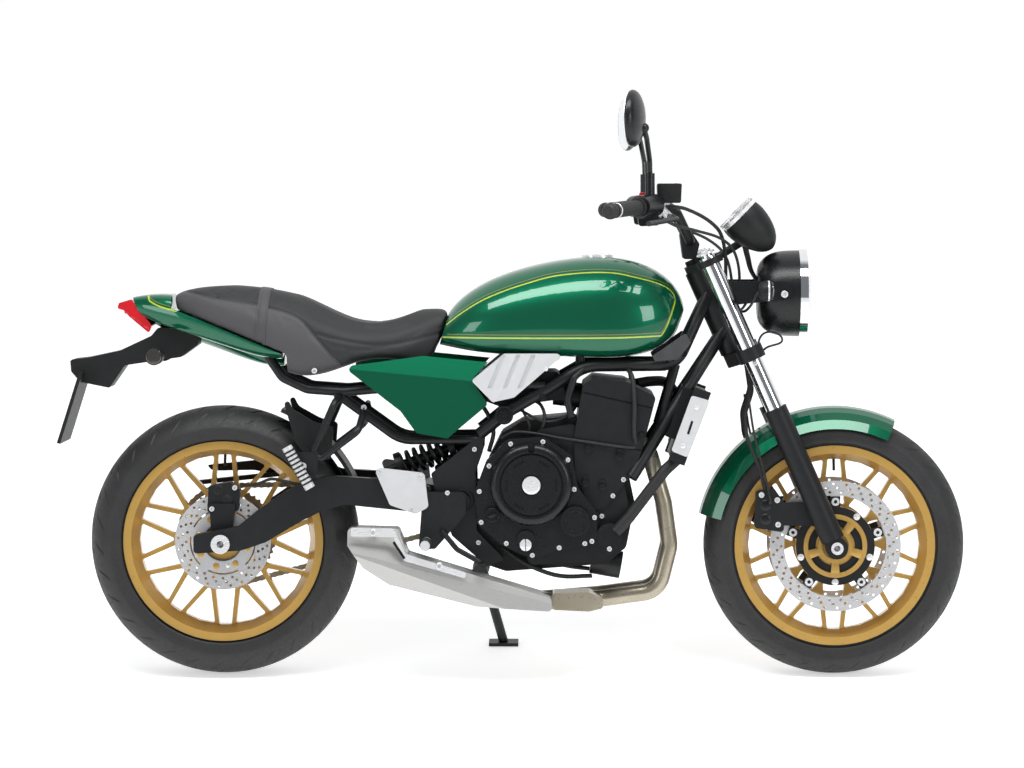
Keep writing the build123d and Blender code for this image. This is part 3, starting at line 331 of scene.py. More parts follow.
ROTOR_BAND = (0.66, 0.66, 0.67)
ROTOR_CARRIER = (0.012, 0.012, 0.013)
GREEN = paint("green_paint", (0.002, 0.13, 0.062))
STRIPE = plain("stripe_yellow_green", (0.42, 0.55, 0.03), 0.3, vary=0.05, coat=1.0)
BLACK_FRAME = plain("black_powder_coat", (0.009, 0.0095, 0.0105), 0.42, relief=0.15, specular=0.35)
BLACK_CAST = plain("black_cast_metal", (0.008, 0.0085, 0.0095), 0.48, relief=0.35, relief_scale=700.0,
                   specular=0.3)
BLACK_COVER = plain("black_engine_cover", (0.007, 0.0075, 0.0085), 0.3, vary=0.06, relief=0.08,
                    specular=0.35)
BLACK_PLASTIC = plain("black_plastic", (0.008, 0.0085, 0.009), 0.5, relief=0.3, relief_scale=1400.0,
                      specular=0.3)
DARK_GREY = plain("dark_grey_satin", (0.05, 0.052, 0.055), 0.38)
RUBBER = plain("rubber", (0.012, 0.012, 0.012), 0.62, relief=0.2)
TYRE = plain("tyre_rubber", (0.017, 0.017, 0.018), 0.58, scale=25.0, relief=0.25, relief_scale=500.0)
GOLD = plain("gold_paint", (0.58, 0.35, 0.085), 0.32, metallic=0.5, vary=0.02, coat=0.5, coat_rough=0.15)
SILVER = plain("silver_paint", (0.64, 0.65, 0.66), 0.36, metallic=0.25, vary=0.02)
SATIN_ALLOY = brushed("satin_alloy", (0.8, 0.8, 0.81), 0.3, (1, 1, 6), 0.08, 0.4)
STEEL = brushed("bright_steel", (0.85, 0.85, 0.86), 0.24, (1, 8, 8), 0.08, 0.4)
MUFFLER = brushed("muffler_steel", (0.5, 0.495, 0.48), 0.32, (1, 40, 40), 0.02, 0.55)
HEADERS = tinted_pipe("heat_tinted_steel")
CHROME = plain("fork_chrome", (0.82, 0.83, 0.85), 0.07, metallic=1.0, vary=0.02)
CHAIN = plain("chain_steel", (0.35, 0.31, 0.24), 0.32, metallic=1.0)
SEAT_SIDE = seat_leather("seat_vinyl_grey", (0.062, 0.06, 0.064), 0.5)
STRIPE_THIN = plain("stripe_dark_gold", (0.2, 0.2, 0.015), 0.3, vary=0.05, coat=1.0)
LENS_RED = plain("red_lens", (0.55, 0.008, 0.015), 0.12, vary=0.05, coat=1.0)
LENS_AMBER = plain("smoked_lens", (0.03, 0.028, 0.026), 0.12, coat=1.0)
LENS = glass("clear_lens", (0.96, 0.98, 1.0), 0.02)
MIRROR_GLASS = plain("mirror_glass", (0.86, 0.88, 0.9), 0.02, metallic=1.0, vary=0.01)
REFLECTOR = plain("lamp_reflector", (0.85, 0.86, 0.88), 0.12, metallic=1.0, vary=0.03)
DIAL = plain("dial_black", (0.012, 0.012, 0.013), 0.3)
FRONT_DISC = disc_steel("front_rotor", FRONT_AXLE, 116.5)
REAR_DISC = disc_steel("rear_rotor", REAR_AXLE, 44.0)

CAD_LOOKS = {
    BLACK_FRAME: ["main_frame", "swingarm", "footrest_hangers", "foot_controls", "handlebar",
                  "side_stand_leg", "rear_shock", "oil_filter"],
    BLACK_CAST: ["crankcase", "cylinder_head", "fork_yokes", "fork_sliders", "bar_clamps", "front_calipers",
                 "rear_caliper", "radiator"],
    BLACK_COVER: ["engine_covers", "hand_controls", "hand_levers", "mirrors", "headlamp_bucket"],
    BLACK_PLASTIC: ["intake", "plate_holder", "rear_indicators", "rear_hugger", "instrument_pods",
                    "front_indicators"],
    RUBBER: ["hand_grips", "brake_hoses", "coolant_hoses"],
    GREEN: ["fuel_tank", "tail_cowl", "side_covers", "front_fender"],
    SILVER: ["side_trims", "radiator_guards", "heel_plates", "footrests", "lever_perches"],
    DARK_GREY: ["tank_panels"],
    STEEL: ["fuel_cap", "front_axle", "rear_axle"],
    MUFFLER: ["muffler"],
    SATIN_ALLOY: ["heat_guard"],
    HEADERS: ["exhaust_pipes"],
    CHROME: ["fork_tubes", "headlamp_rim"],
    GOLD: ["front_rim", "rear_rim"],
    CHAIN: ["drive_chain", "rear_sprocket"],
    TYRE: ["front_tyre", "rear_tyre"],
    FRONT_DISC: ["front_brake_discs"],
    REAR_DISC: ["rear_brake_disc"],
    SEAT_SIDE: ["seat"],
    LENS_RED: ["tail_lamp"],
    LENS: ["headlamp_lens"],
}


def dress_cad_nodes():
    """Gives every CAD node its material and smooth curves."""
    for material, names in CAD_LOOKS.items():
        for name in names:
            piece = NODES[name]
            piece.data.materials.clear()
            piece.data.materials.append(material)
            shade(piece, 32)


# Shapes shared by many small pieces


def quads(bm, rows, around=False, closed=False):
    """Faces between neighbouring rows; around closes each row, closed joins the last row to the first."""
    for first, second in zip(rows, rows[1:] + (rows[:1] if closed else [])):
        for index in range(0 if around else 1, len(first)):
            bm.faces.new((first[index - 1], first[index], second[index], second[index - 1]))


def rounded(outline, radius, steps=4):
    """An outline with its corners turned into curves."""
    points = []
    for index, corner in enumerate(outline):
        corner = Vector(corner)
        before = Vector(outline[index - 1]) - corner
        after = Vector(outline[(index + 1) % len(outline)]) - corner
        start = corner + before.normalized() * min(radius, before.length * 0.45)
        end = corner + after.normalized() * min(radius, after.length * 0.45)
        for step in range(steps + 1):
            share = step / steps
            points.append(tuple(start.lerp(corner, share).lerp(corner.lerp(end, share), share)))
    return points


def prism(bm, outline, low, high, bevel=0.0):
    """A plate between two distances to the left, drawn as x and z points, with eased edges."""
    low, high = sorted((low, high))
    near = [bm.verts.new((x, low, z)) for x, z in outline]
    far = [bm.verts.new((x, high, z)) for x, z in outline]
    faces = [bm.faces.new(near), bm.faces.new(far)]
    for index in range(len(outline)):
        faces.append(bm.faces.new((near[index - 1], near[index], far[index], far[index - 1])))
    bmesh.ops.recalc_face_normals(bm, faces=faces)
    if bevel:
        rims = list({edge for face in faces[:2] for edge in face.edges})
        bmesh.ops.bevel(bm, geom=rims, offset=bevel, segments=2, affect="EDGES", profile=0.6,
                        clamp_overlap=True)


def smooth_path(points, per_span=8, closed=False):
    """Points on a smooth curve through the given ones."""
    points = [Vector(point) for point in points]
    count = len(points)
    path = []
    for index in range(count if closed else count - 1):
        start, end = points[index], points[(index + 1) % count]
        before = points[index - 1] if closed or index else start
        after = points[(index + 2) % count] if closed or index + 2 < count else end
        reach = (end - start).length / 3
        leave = (end - before).normalized() * reach
        arrive = (after - start).normalized() * reach
        path += interpolate_bezier(start, start + leave, end - arrive, end, per_span + 1)[:-1]
    return path if closed else path + [points[-1]]


def sweep(bm, path, radius, sides=10, closed=False):
    """A round bar along a path; the radius may change with the share of the way along."""
    rings = []
    normal = None
    count = len(path)
    for index, point in enumerate(path):
        after = path[(index + 1) % count] if closed or index + 1 < count else point
        before = path[index - 1] if closed or index else point
        tangent = (after - before).normalized()
        normal = tangent.orthogonal() if normal is None else normal - tangent * normal.dot(tangent)
        normal.normalize()
        aside = tangent.cross(normal)
        size = radius(index / (count - 1)) if callable(radius) else radius
        ring = []
        for side in range(sides):
            angle = 2 * pi * side / sides
            ring.append(bm.verts.new(point + (normal * cos(angle) + aside * sin(angle)) * size))
        rings.append(ring)
    quads(bm, rings, around=True, closed=closed)
    if not closed:
        bm.faces.new(reversed(rings[0]))
        bm.faces.new(rings[-1])


def bolt(bm, centre, axis, radius, height, head="socket", sides=18):
    """A bolt head: a cap with a hexagon socket, a hexagon on a flange, or a plain dome."""
    turn = Matrix.Translation(centre) @ frame_of(axis)
    levels = {
        "socket": [(1, 0, 0), (1, 0.8, 0), (0.86, 1, 0), (0.55, 1, 1), (0.55, 0.3, 1)],
        "hexagon": [(1.3, 0, 0), (1.3, 0.18, 0), (1, 0.22, 1), (1, 0.88, 1), (0.84, 1, 0)],
        "dome": [(1, 0, 0), (0.98, 0.4, 0), (0.84, 0.75, 0), (0.5, 0.96, 0), (0.1, 1, 0)],
    }
    rings = []
    for size, level, hexed in levels[head]:
        ring = []
        for index in range(sides):
            angle = 2 * pi * index / sides
            flat = cos(pi / 6) / cos(angle % (pi / 3) - pi / 6) if hexed else 1
            reach = radius * size * flat
            spot = Vector((reach * cos(angle), reach * sin(angle), height * level))
            ring.append(bm.verts.new(turn @ spot))
        rings.append(ring)
    quads(bm, rings, around=True)
    bm.faces.new(rings[-1])


def surface(*names):
    """What rays and nearest points find on CAD nodes, in upright millimetres."""
    bm = bmesh.new()
    for name in names:
        bm.from_mesh(NODES[name].data)
    bm.transform(BIKE.inverted())
    tree = BVHTree.FromBMesh(bm)
    bm.free()
    return tree


def on_side(tree, x, z, side):
    """Where a line across the machine, from the right (-1) or left (1), first meets a surface."""
    return tree.ray_cast(Vector((x, 600 * side, z)), Vector((0, -side, 0)))[:2]


def side_line(tree, points, side, per_span=8):
    """A smooth line of x and z points, dropped from one side onto a surface."""
    line = []
    for point in smooth_path([(x, 0, z) for x, z in points], per_span):
        spot = on_side(tree, point.x, point.z, side)[0]
        if spot:
            line.append(spot)
    return line


def ribbon(bm, tree, centres, width, lift):
    """A thin band on a surface along points that lie on it."""
    rows = []
    for index, centre in enumerate(centres):
        spot, normal = tree.find_nearest(centre)[:2]
        tangent = centres[min(index + 1, len(centres) - 1)] - centres[max(index - 1, 0)]
        aside = normal.cross(tangent).normalized()
        row = []
        for share in (-0.5, 0.5):
            edge, lean = tree.find_nearest(spot + aside * width * share)[:2]
            row.append(bm.verts.new(edge + lean * lift))
        rows.append(row)
    quads(bm, rows)


def bake(piece):
    """Replaces a piece's mesh with what its modifiers make of it."""
    graph = bpy.context.evaluated_depsgraph_get()
    made = bpy.data.meshes.new_from_object(piece.evaluated_get(graph))
    piece.modifiers.clear()
    old, piece.data = piece.data, made
    bpy.data.meshes.remove(old)


# Tyres and chain

TREAD_ANGLE = 68.0
TREAD_DEPTH = 3.2
GROOVES = [(0, 0.5, 0.84), (13, 0.06, 0.42)]
COLUMNS = 720
PERIOD = 24


def groove_depth(column, share, side):
    """How deep the tread is cut at a column and a share of the way from the middle to the shoulder."""
    place = (column + (0 if side > 0 else PERIOD // 2)) % PERIOD
    for start, low, high in GROOVES:
        if place in (start, start + 1) and low < share < high:
            ease = min(1.0, (share - low) / 0.06, (high - share) / 0.06)
            return TREAD_DEPTH * ease
    return 0.0


def treaded_tyre(name, node_name, centre, radius, crown, bead_side, body):
    """A road tyre: swept grooves across a round tread, smooth sidewalls and beads in the rim."""
    rows = []
    for index in range(-17, 18):
        share = index / 17
        angle = radians(TREAD_ANGLE * share)
        rows.append((crown * sin(angle), radius - crown + crown * cos(angle), share))
    edge_y, edge_radius = rows[-1][0], rows[-1][1]
    wall = smooth_path([(edge_y, 0, edge_radius), (edge_y * 0.995, 0, edge_radius - 8),
                        (crown * 0.87, 0, edge_radius - 26), (bead_side + 4, 0, 246),
                        (bead_side, 0, 232)], 4)[1:]
    right = [(point.x, point.z, None) for point in wall] + [(bead_side, 219, None)]
    left = [(-y, level, None) for y, level, share in reversed(right)]
    bm = bmesh.new()
    rings = []
    for column in range(COLUMNS):
        ring = []
        for y, level, share in left + rows + right:
            skew = 16 * abs(share) ** 1.3 if share is not None else 16
            cut = 0 if share is None else groove_depth(column, abs(share), 1 if share > 0 else -1)
            angle = radians(column * 360 / COLUMNS + skew)
            reach = level - cut
            ring.append(bm.verts.new(centre + Vector((reach * cos(angle), y, reach * sin(angle)))))
        rings.append(ring)
    quads(bm, rings, closed=True)
    bmesh.ops.recalc_face_normals(bm, faces=bm.faces)
    piece = add(name, bm, TYRE, body, 30)
    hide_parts(node_name)


PITCH = 15.875
CHAIN_Y = 92.0
OUTPUT_SHAFT = Vector((645, 0, 400))


def chain_links():
    """The roller chain: inner and outer plates, rollers and riveted pins, around both sprockets."""
    big, small = PITCH / 2 / sin(pi / 46), PITCH / 2 / sin(pi / 15)
    run = OUTPUT_SHAFT - REAR_CENTRE
    lean = atan2(run.z, run.x)
    spread = acos((big - small) / run.length)

    def rim(centre, radius, angle):
        return centre + Vector((radius * cos(angle), 0, radius * sin(angle)))

    path = []
    for step in range(61):
        path.append(rim(REAR_CENTRE, big, lean + spread + (2 * pi - 2 * spread) * step / 60))
    for step in range(31):
        path.append(rim(OUTPUT_SHAFT, small, lean - spread + 2 * spread * step / 30))
    lengths = [0.0]
    for first, second in zip(path, path[1:] + path[:1]):
        lengths.append(lengths[-1] + (second - first).length)
    count = 2 * round(lengths[-1] / PITCH / 2)

    def along(distance):
        index = bisect_right(lengths, distance) - 1
        share = (distance - lengths[index]) / (lengths[index + 1] - lengths[index])
        return path[index].lerp(path[(index + 1) % len(path)], share)

    pins = [along(lengths[-1] * index / count) for index in range(count)]
    bm = bmesh.new()
    for index, pin in enumerate(pins):
        after = pins[(index + 1) % count]
        middle = (pin + after) / 2
        turn = (after - pin).normalized()
        aside = Vector((-turn.z, 0, turn.x))
        outline = []
        for sign in (1, -1):
            for step in range(7):
                angle = radians(-75 + 25 * step)
                spot = turn * (PITCH / 2 + 6.6 * cos(angle)) * sign + aside * 6.6 * sin(angle) * sign
                outline.append(middle + spot)
            outline.append(middle + aside * 5.0 * sign)
        outline = [(spot.x, spot.z) for spot in outline]
        low, high = (3.9, 5.5) if index % 2 else (5.7, 7.3)
        prism(bm, outline, CHAIN_Y + low, CHAIN_Y + high)
        prism(bm, outline, CHAIN_Y - high, CHAIN_Y - low)
        sweep(bm, [pin + LEFT_MM * (CHAIN_Y - 3.8), pin + LEFT_MM * (CHAIN_Y + 3.8)], 5.0, 12)
        sweep(bm, [pin + LEFT_MM * (CHAIN_Y - 7.9), pin + LEFT_MM * (CHAIN_Y + 7.9)], 2.6, 8)
    piece = add("chain_links", bm, CHAIN, "chassis", 30)
    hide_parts("drive_chain")


# Seat

SEAT_SEAM = [(-93, 886), (-73, 883), (-29, 873), (23, 865), (77, 856), (105, 849), (140, 841), (172, 828),
             (188, 816), (210, 790), (236, 759), (255, 737), (273, 721)]
RIDER_SEAM = [(224, 787), (269, 776), (317, 767), (365, 763), (413, 768), (461, 779), (498, 787)]
SWELL_CAP = 0.009


def soft_seat():
    """The foam seat in its stretched cover: swollen from a slimmer form, with sewn seams pulled in."""
    piece = bpy.data.objects.new("seat_cover", NODES["seat"].data.copy())
    scene.collection.objects.link(piece)
    remesh = piece.modifiers.new("even", "REMESH")
    remesh.mode = "VOXEL"
    remesh.voxel_size = 0.005
    bake(piece)
    rest = [vert.co.copy() for vert in piece.data.vertices]
    normals = [vert.normal.copy() for vert in piece.data.vertices]
    for vert, normal in zip(piece.data.vertices, normals):
        vert.co -= normal * 0.004
    held = piece.vertex_groups.new(name="held")
    held.add([index for index, normal in enumerate(normals) if normal.dot(UP) < -0.35], 1.0, "REPLACE")
    cloth = piece.modifiers.new("swell", "CLOTH")
    cloth.settings.use_pressure = True
    cloth.settings.uniform_pressure_force = 4.0
    cloth.settings.effector_weights.gravity = 0.0
    cloth.settings.vertex_group_mass = "held"
    cloth.settings.quality = 6
    for step in range(1, 21):
        scene.frame_set(step)
    bake(piece)
    scene.frame_set(1)
    for vert, home in zip(piece.data.vertices, rest):
        moved = vert.co - home
        if moved.length > SWELL_CAP:
            vert.co = home + moved.normalized() * SWELL_CAP
    finer = piece.modifiers.new("finer", "SUBSURF")
    finer.levels = finer.render_levels = 1
    bake(piece)
    bm = bmesh.new()
    bm.from_mesh(piece.data)
    bm.transform(BIKE.inverted())
    for vert in bm.verts:
        vert.co.x -= 11 * min(1, max(0, (-70 - vert.co.x) / 34))
    skin = BVHTree.FromBMesh(bm)
    lines = []
    for side in (-1, 1):
        lines.append(side_line(skin, SEAT_SEAM, side, 10))
        lines.append(side_line(skin, RIDER_SEAM, side, 10))
    spots = [spot for line in lines for spot in line]
    tree = KDTree(len(spots))
    for index, spot in enumerate(spots):
        tree.insert(spot, index)
    tree.balance()
    bm.normal_update()
    for vert in bm.verts:
        distance = tree.find(vert.co)[2]
        if distance < 14:
            vert.co -= vert.normal * 2.2 * exp(-(distance / 5.0) ** 2)
    skin = BVHTree.FromBMesh(bm)
    bpy.data.objects.remove(piece)
    cover = add("seat_cover", bm, SEAT_COVER, "chassis", 80)
    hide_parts("seat")
    welts = bmesh.new()
    threads = bmesh.new()
    for number, line in enumerate(lines):
        settled = [skin.find_nearest(spot)[0] for spot in line]
        if number % 2 == 0:
            sweep(welts, settled, 1.3, 8)
            lift = 4.5
        else:
            lift = 0.0
        sewn = [skin.find_nearest(spot + Vector((0, 0, lift)))[:2] for spot in settled]
        for (first, lean), (second, other) in zip(sewn[::2], sewn[1::2]):
            stitch = [first + lean * 0.2, (first + second) / 2 + lean * 0.5, second + other * 0.2]
            sweep(threads, stitch, 0.35, 5)
    add("seat_welts", welts, SEAT_SIDE, "chassis", 60)
    add("seat_stitches", threads, SEAT_SIDE, "chassis", 60)
    seat_strap(skin)


def seat_strap(skin):
    """The grab strap over the seat, with its folded edges."""
    profile = [(-12.5, 0.1), (-12.3, 1.8), (-9.5, 2.4), (-8.8, 1.9), (-8.1, 2.4), (8.1, 2.4), (8.8, 1.9),
               (9.5, 2.4), (12.3, 1.8), (12.5, 0.1)]
    bm = bmesh.new()
    rows = []
    for step in range(97):
        angle = radians(-118 + 236 * step / 96)
        aim = Vector((0.08 * cos(angle), sin(angle), cos(angle)))
        row = []
        for offset, lift in profile:
            centre = Vector((92 + offset, 0, 800))
            spot, normal = skin.ray_cast(centre + aim * 300, -aim)[:2]
            row.append(bm.verts.new(spot + normal * lift))
        rows.append(row)
    quads(bm, rows)
    bmesh.ops.recalc_face_normals(bm, faces=bm.faces)
    add("seat_strap", bm, SEAT_SIDE, "chassis", 50)


SEAT_COVER = two_tone_leather("seat_vinyl", (0.02, 0.021, 0.022), (0.062, 0.06, 0.064),
                              SEAT_SEAM + [(279, 690)])


# Paint lines

TANK_ARC = [(514, 808), (549, 835), (596, 864), (647, 886), (698, 903), (752, 918), (803, 925), (854, 928),
            (901, 926), (948, 916), (995, 903), (1024, 888), (1036, 868), (1030, 840), (1014, 800),
            (1004, 784)]
TANK_LINE = [(505, 780), (638, 780), (774, 780), (910, 781), (1004, 784)]
TAIL_LINE = [(-171, 874), (-166, 862), (-137, 848), (-76, 834)]


def pinstripes():
    """The double lines round the tank's sides and along the tail."""
    tank, tail = surface("fuel_tank"), surface("tail_cowl")
    bright, thin = bmesh.new(), bmesh.new()
    for side in (-1, 1):
        for tree, points in ((tank, TANK_ARC), (tank, TANK_LINE), (tail, TAIL_LINE)):
            ribbon(bright, tree, side_line(tree, points, side, 12), 3.6, 0.35)
            raised = [(x, z + 7.0) for x, z in points]
            ribbon(thin, tree, side_line(tree, raised, side, 12), 1.7, 0.35)
    add("stripes_bright", bright, STRIPE, "chassis")
    add("stripes_thin", thin, STRIPE_THIN, "chassis")


# Engine, frame and bodywork hardware

COVER_BOLTS = [(662, 541), (735, 546), (792, 505), (806, 438), (613, 491), (591, 433), (595, 363),
               (652, 315), (711, 288), (772, 305), (830, 315), (846, 320), (852, 374), (869, 374),
               (886, 302), (932, 361), (894, 421), (918, 458), (789, 669), (579, 526), (518, 428),
               (588, 313)]
CASE_BOLTS = [(839, 530), (909, 513), (831, 452), (870, 443)]


def on_faces(bm, tree, spots, side, radius, height, head="socket"):
    """Bolt heads pressed a little into whatever face lies under each x and z spot."""
    for x, z in spots:
        spot = on_side(tree, x, z, side)[0]
        if spot:
            bolt(bm, spot - LEFT_MM * side * 0.8, LEFT_MM * side, radius, height + 0.8, head)


def ring(bm, centre, axis, inner, outer, height, steps=36):
    """A raised band with rounded edges around a centre."""
    ease = min(1.0, height / 3)
    lathe(bm, [(inner, -1), (inner, height - ease), (inner + ease, height), (outer - ease, height),
               (outer, height - ease), (outer, -1)], centre, axis, steps)


def knob(bm, centre, axis, radius, height):
    """A disc with a rounded rim, closed on its axis."""
    cap = lathe_mesh([(radius, -1), (radius, height * 0.6), (radius * 0.9, height * 0.92),
                      (radius * 0.75, height), (0, height)], centre, axis, 32)
    data = bpy.data.meshes.new("knob")
    cap.to_mesh(data)
    cap.free()
    bm.from_mesh(data)
    bpy.data.meshes.remove(data)


def engine_trim():
    """Bolts, plugs, rings and rubber on both sides of the engine."""
    engine = surface("engine_covers", "crankcase", "cylinder_head", "footrest_hangers", "main_frame",
                     "swingarm")
    bright, dark = bmesh.new(), bmesh.new()
    on_faces(bright, engine, COVER_BOLTS, -1, 5.6, 4.5)
    circle = [(852 + 66 * cos(radians(45 * k)), 400 + 66 * sin(radians(45 * k))) for k in range(8)]
    on_faces(bright, engine, circle + [(645, 345), (645, 455), (700, 345), (700, 470)], 1, 5.6, 4.5)
    on_faces(dark, engine, CASE_BOLTS + [(734, 646), (960, 560)], -1, 7, 6, "hexagon")
    on_faces(dark, engine, CASE_BOLTS, 1, 7, 6, "hexagon")
    knob(bright, (709, -185.6, 449), RIGHT_MM, 20.5, 2.4)
    ring(dark, (709, -181.6, 449), RIGHT_MM, 24, 27, 1.2)
    for radius in (33, 24):
        ring(dark, (808, -171.6, 366), RIGHT_MM, radius - 3, radius, 1.6)
    ring(dark, (620, -167.5, 380), RIGHT_MM, 13, 16.5, 4)
    prism(dark, rounded([(608, 377), (618, 373), (632, 383), (622, 387)], 2), -172, -167, 0.8)
    for side in (-1, 1):
        angles = [radians(degrees) for degrees in range(0, 181, 15)]
        rim = [(696 + side * (0.8 + 12.6 * sin(angle)), 312 + 13.6 * cos(angle)) for angle in angles]
        prism(bright, rim, -169, -165.5, 0.5)
    ring(bright, (553, -119, 410), RIGHT_MM, 9, 13, 3)
    ring(dark, (553, -118, 410), RIGHT_MM, 17, 25, 3)
    ring(dark, (647, -140, 605), RIGHT_MM, 16, 21, 5)
    knob(dark, (647, -140, 605), RIGHT_MM, 16.5, 2)
    for index in range(5):
        angle = radians(72 * index + 90)
        ring(dark, Vector((647 + 9 * cos(angle), -141, 605 + 9 * sin(angle))), RIGHT_MM, 2.4, 4.6, 3, 16)
    knob(bright, (852, 171, 400), LEFT_MM, 18, 4)
    ring(dark, (852, 171.5, 400), LEFT_MM, 48, 54, 2)
    add("engine_bolts", bright, STEEL, "chassis", 30)
    add("engine_rings", dark, BLACK_COVER, "chassis", 30)


CHASSIS_LINES = [
    (3.4, [(640, -126, 552), (668, -134, 566), (713, -138, 564), (768, -136, 554), (850, -135, 542),
           (912, -135, 533), (944, -128, 530)]),
    (4, [(690, -66, 640), (726, -96, 630), (739, -112, 602), (733, -110, 572), (722, -96, 548)]),
    (3.2, [(664, -76, 626), (700, -108, 606), (742, -112, 589), (790, -96, 600), (812, -60, 622)]),
    (3.2, [(676, -70, 650), (690, -104, 612), (704, -112, 580), (700, -100, 548)]),
    (5, [(560, -72, 660), (600, -98, 620), (622, -108, 570), (612, -100, 520)]),
    (3.6, [(53, -80, 440), (85, -92, 446), (117, -104, 457), (180, -114, 446), (300, -118, 452),
           (420, -112, 470)]),
    (5, [(640, -100, 300), (700, -112, 262), (770, -104, 236), (846, -70, 232)]),
    (5, [(636, 84, 330), (690, 104, 268), (780, 100, 240), (850, 60, 234)]),
]
FRONT_LINES = [
    (3.4, [(1012, -196, 1046), (1040, -180, 1034), (1080, -160, 1024), (1139, -120, 1005),
           (1171, -84, 974), (1184, -60, 917), (1176, -40, 870)]),
    (3.4, [(1010, 200, 1050), (1050, 176, 1030), (1120, 120, 1000), (1160, 84, 960), (1176, 50, 880)]),
    (4.2, [(1000, -170, 1080), (1060, -150, 1072), (1130, -96, 1030), (1150, -60, 980), (1154, -36, 900)]),
    (4.5, [(1196, -50, 1000), (1206, -40, 960), (1214, -20, 930), (1232, -8, 900)]),
    (4.5, [(1196, 50, 1000), (1206, 40, 960), (1214, 20, 930), (1232, 8, 900)]),
]
LAMP_WIRE = [(1224, 108, 884), (1206, 96, 850), (1190, 62, 838), (1176, 44, 852)]
CALIPER_HOSE = [(1256, 104, 400), (1240, 98, 470), (1216, 112, 560), (1204, 96, 640)]
COIL_HOSE = [(925, 86, 712), (938, 120, 690), (943, 136, 632), (943, 136, 560), (950, 118, 530)]
COOLANT_HOSE = [(1046, 110, 640), (1020, 90, 668), (985, 62, 672), (950, 40, 668)]
FORK_LOOP = [(1222, -60, 738), (1240, -62, 788), (1282, -64, 775), (1246, -60, 755), (1224, -50, 734)]


def on_both(points):
    """Points given for the left side, mirrored to the right and as they are."""
    return [[(x, side * y, z) for x, y, z in points] for side in (-1, 1)]


def lines_and_wires():
    """Cables, hoses and the loom along their visible runs; some ends stop short of what they join."""
    chassis, front = bmesh.new(), bmesh.new()
    for points in on_both(COIL_HOSE):
        sweep(chassis, smooth_path(points), 5.5)
    for radius, points in CHASSIS_LINES:
        sweep(chassis, smooth_path(points), radius)
    sweep(chassis, smooth_path(COOLANT_HOSE), 12, 16)
    for radius, points in FRONT_LINES:
        sweep(front, smooth_path(points), radius)
    for wire, pipe in zip(on_both(LAMP_WIRE), on_both(CALIPER_HOSE)):
        sweep(front, smooth_path(wire), 3)
        sweep(front, smooth_path(pipe), 2.6)
    sweep(front, smooth_path(FORK_LOOP), 2.4)
    add("chassis_lines", chassis, RUBBER, "chassis", 50)
    add("front_lines", front, RUBBER, "front_end", 50)


def body_trim():
    """Bolts, slots and pads on the bodywork, guards, hangers and silencer."""
    skin = surface("side_covers", "side_trims", "tank_panels", "radiator_guards", "heel_plates",
                   "heat_guard", "muffler", "seat", "tail_cowl", "footrest_hangers", "main_frame",
                   "fuel_tank")
    bright, black = bmesh.new(), bmesh.new()
    for side in (-1, 1):
        on_faces(bright, skin, [(742, 711)], side, 5.5, 2.6, "dome")
        on_faces(bright, skin, [(1083, 624), (1052, 536)], side, 6.5, 2.2, "dome")
        on_faces(black, skin, [(1058, 742)], side, 7, 4)
        on_faces(bright, skin, [(365, 478), (456, 466), (436, 392)], side, 5, 3)
        on_faces(bright, skin, [(215, 705), (264, 673), (326, 620), (600, 330)], side, 6.5, 5)
        slot = rounded([(1071, 594), (1076, 592), (1066, 562), (1061, 564)], 2)
        prism(black, slot, side * 156.6, side * 152.4)
    on_faces(bright, skin, [(350, 341), (500, 265)], -1, 8, 4)
    prism(black, rounded([(394, 318), (399, 321), (424, 283), (419, 280)], 2), -174.5, -170)
    add("body_bolts", bright, STEEL, "chassis", 30)
    add("body_slots", black, BLACK_COVER, "chassis", 30)
    cap = bmesh.new()
    ring(cap, Vector((860, 0, 965.4)), UP_MM, 27, 35, 1.8)
    prism(cap, rounded([(846, 966), (874, 966), (874, 969), (846, 969)], 1), -7, 7, 1)
    for index in range(6):
        angle = radians(60 * index + 30)
        bolt(cap, Vector((860 + 31 * cos(angle), 31 * sin(angle), 966.8)), UP_MM, 2.6, 1.6)
    add("fuel_cap_trim", cap, SATIN_ALLOY, "chassis", 30)
    pegs = bmesh.new()
    for side in (-1, 1):
        foot, tip = Vector((208, side * 170, 441)), Vector((155, side * 170, 535))
        for index in range(9):
            spot = foot.lerp(tip, 0.12 + 0.095 * index)
            ring(pegs, spot, tip - foot, 11, 13.4, 3.4, 24)
        for index in range(8):
            ring(pegs, Vector((470, side * (160 + 8.5 * index), 316)), LEFT_MM * side, 10, 12.4, 3.4, 24)
    add("footrest_rubbers", pegs, RUBBER, "chassis", 40)


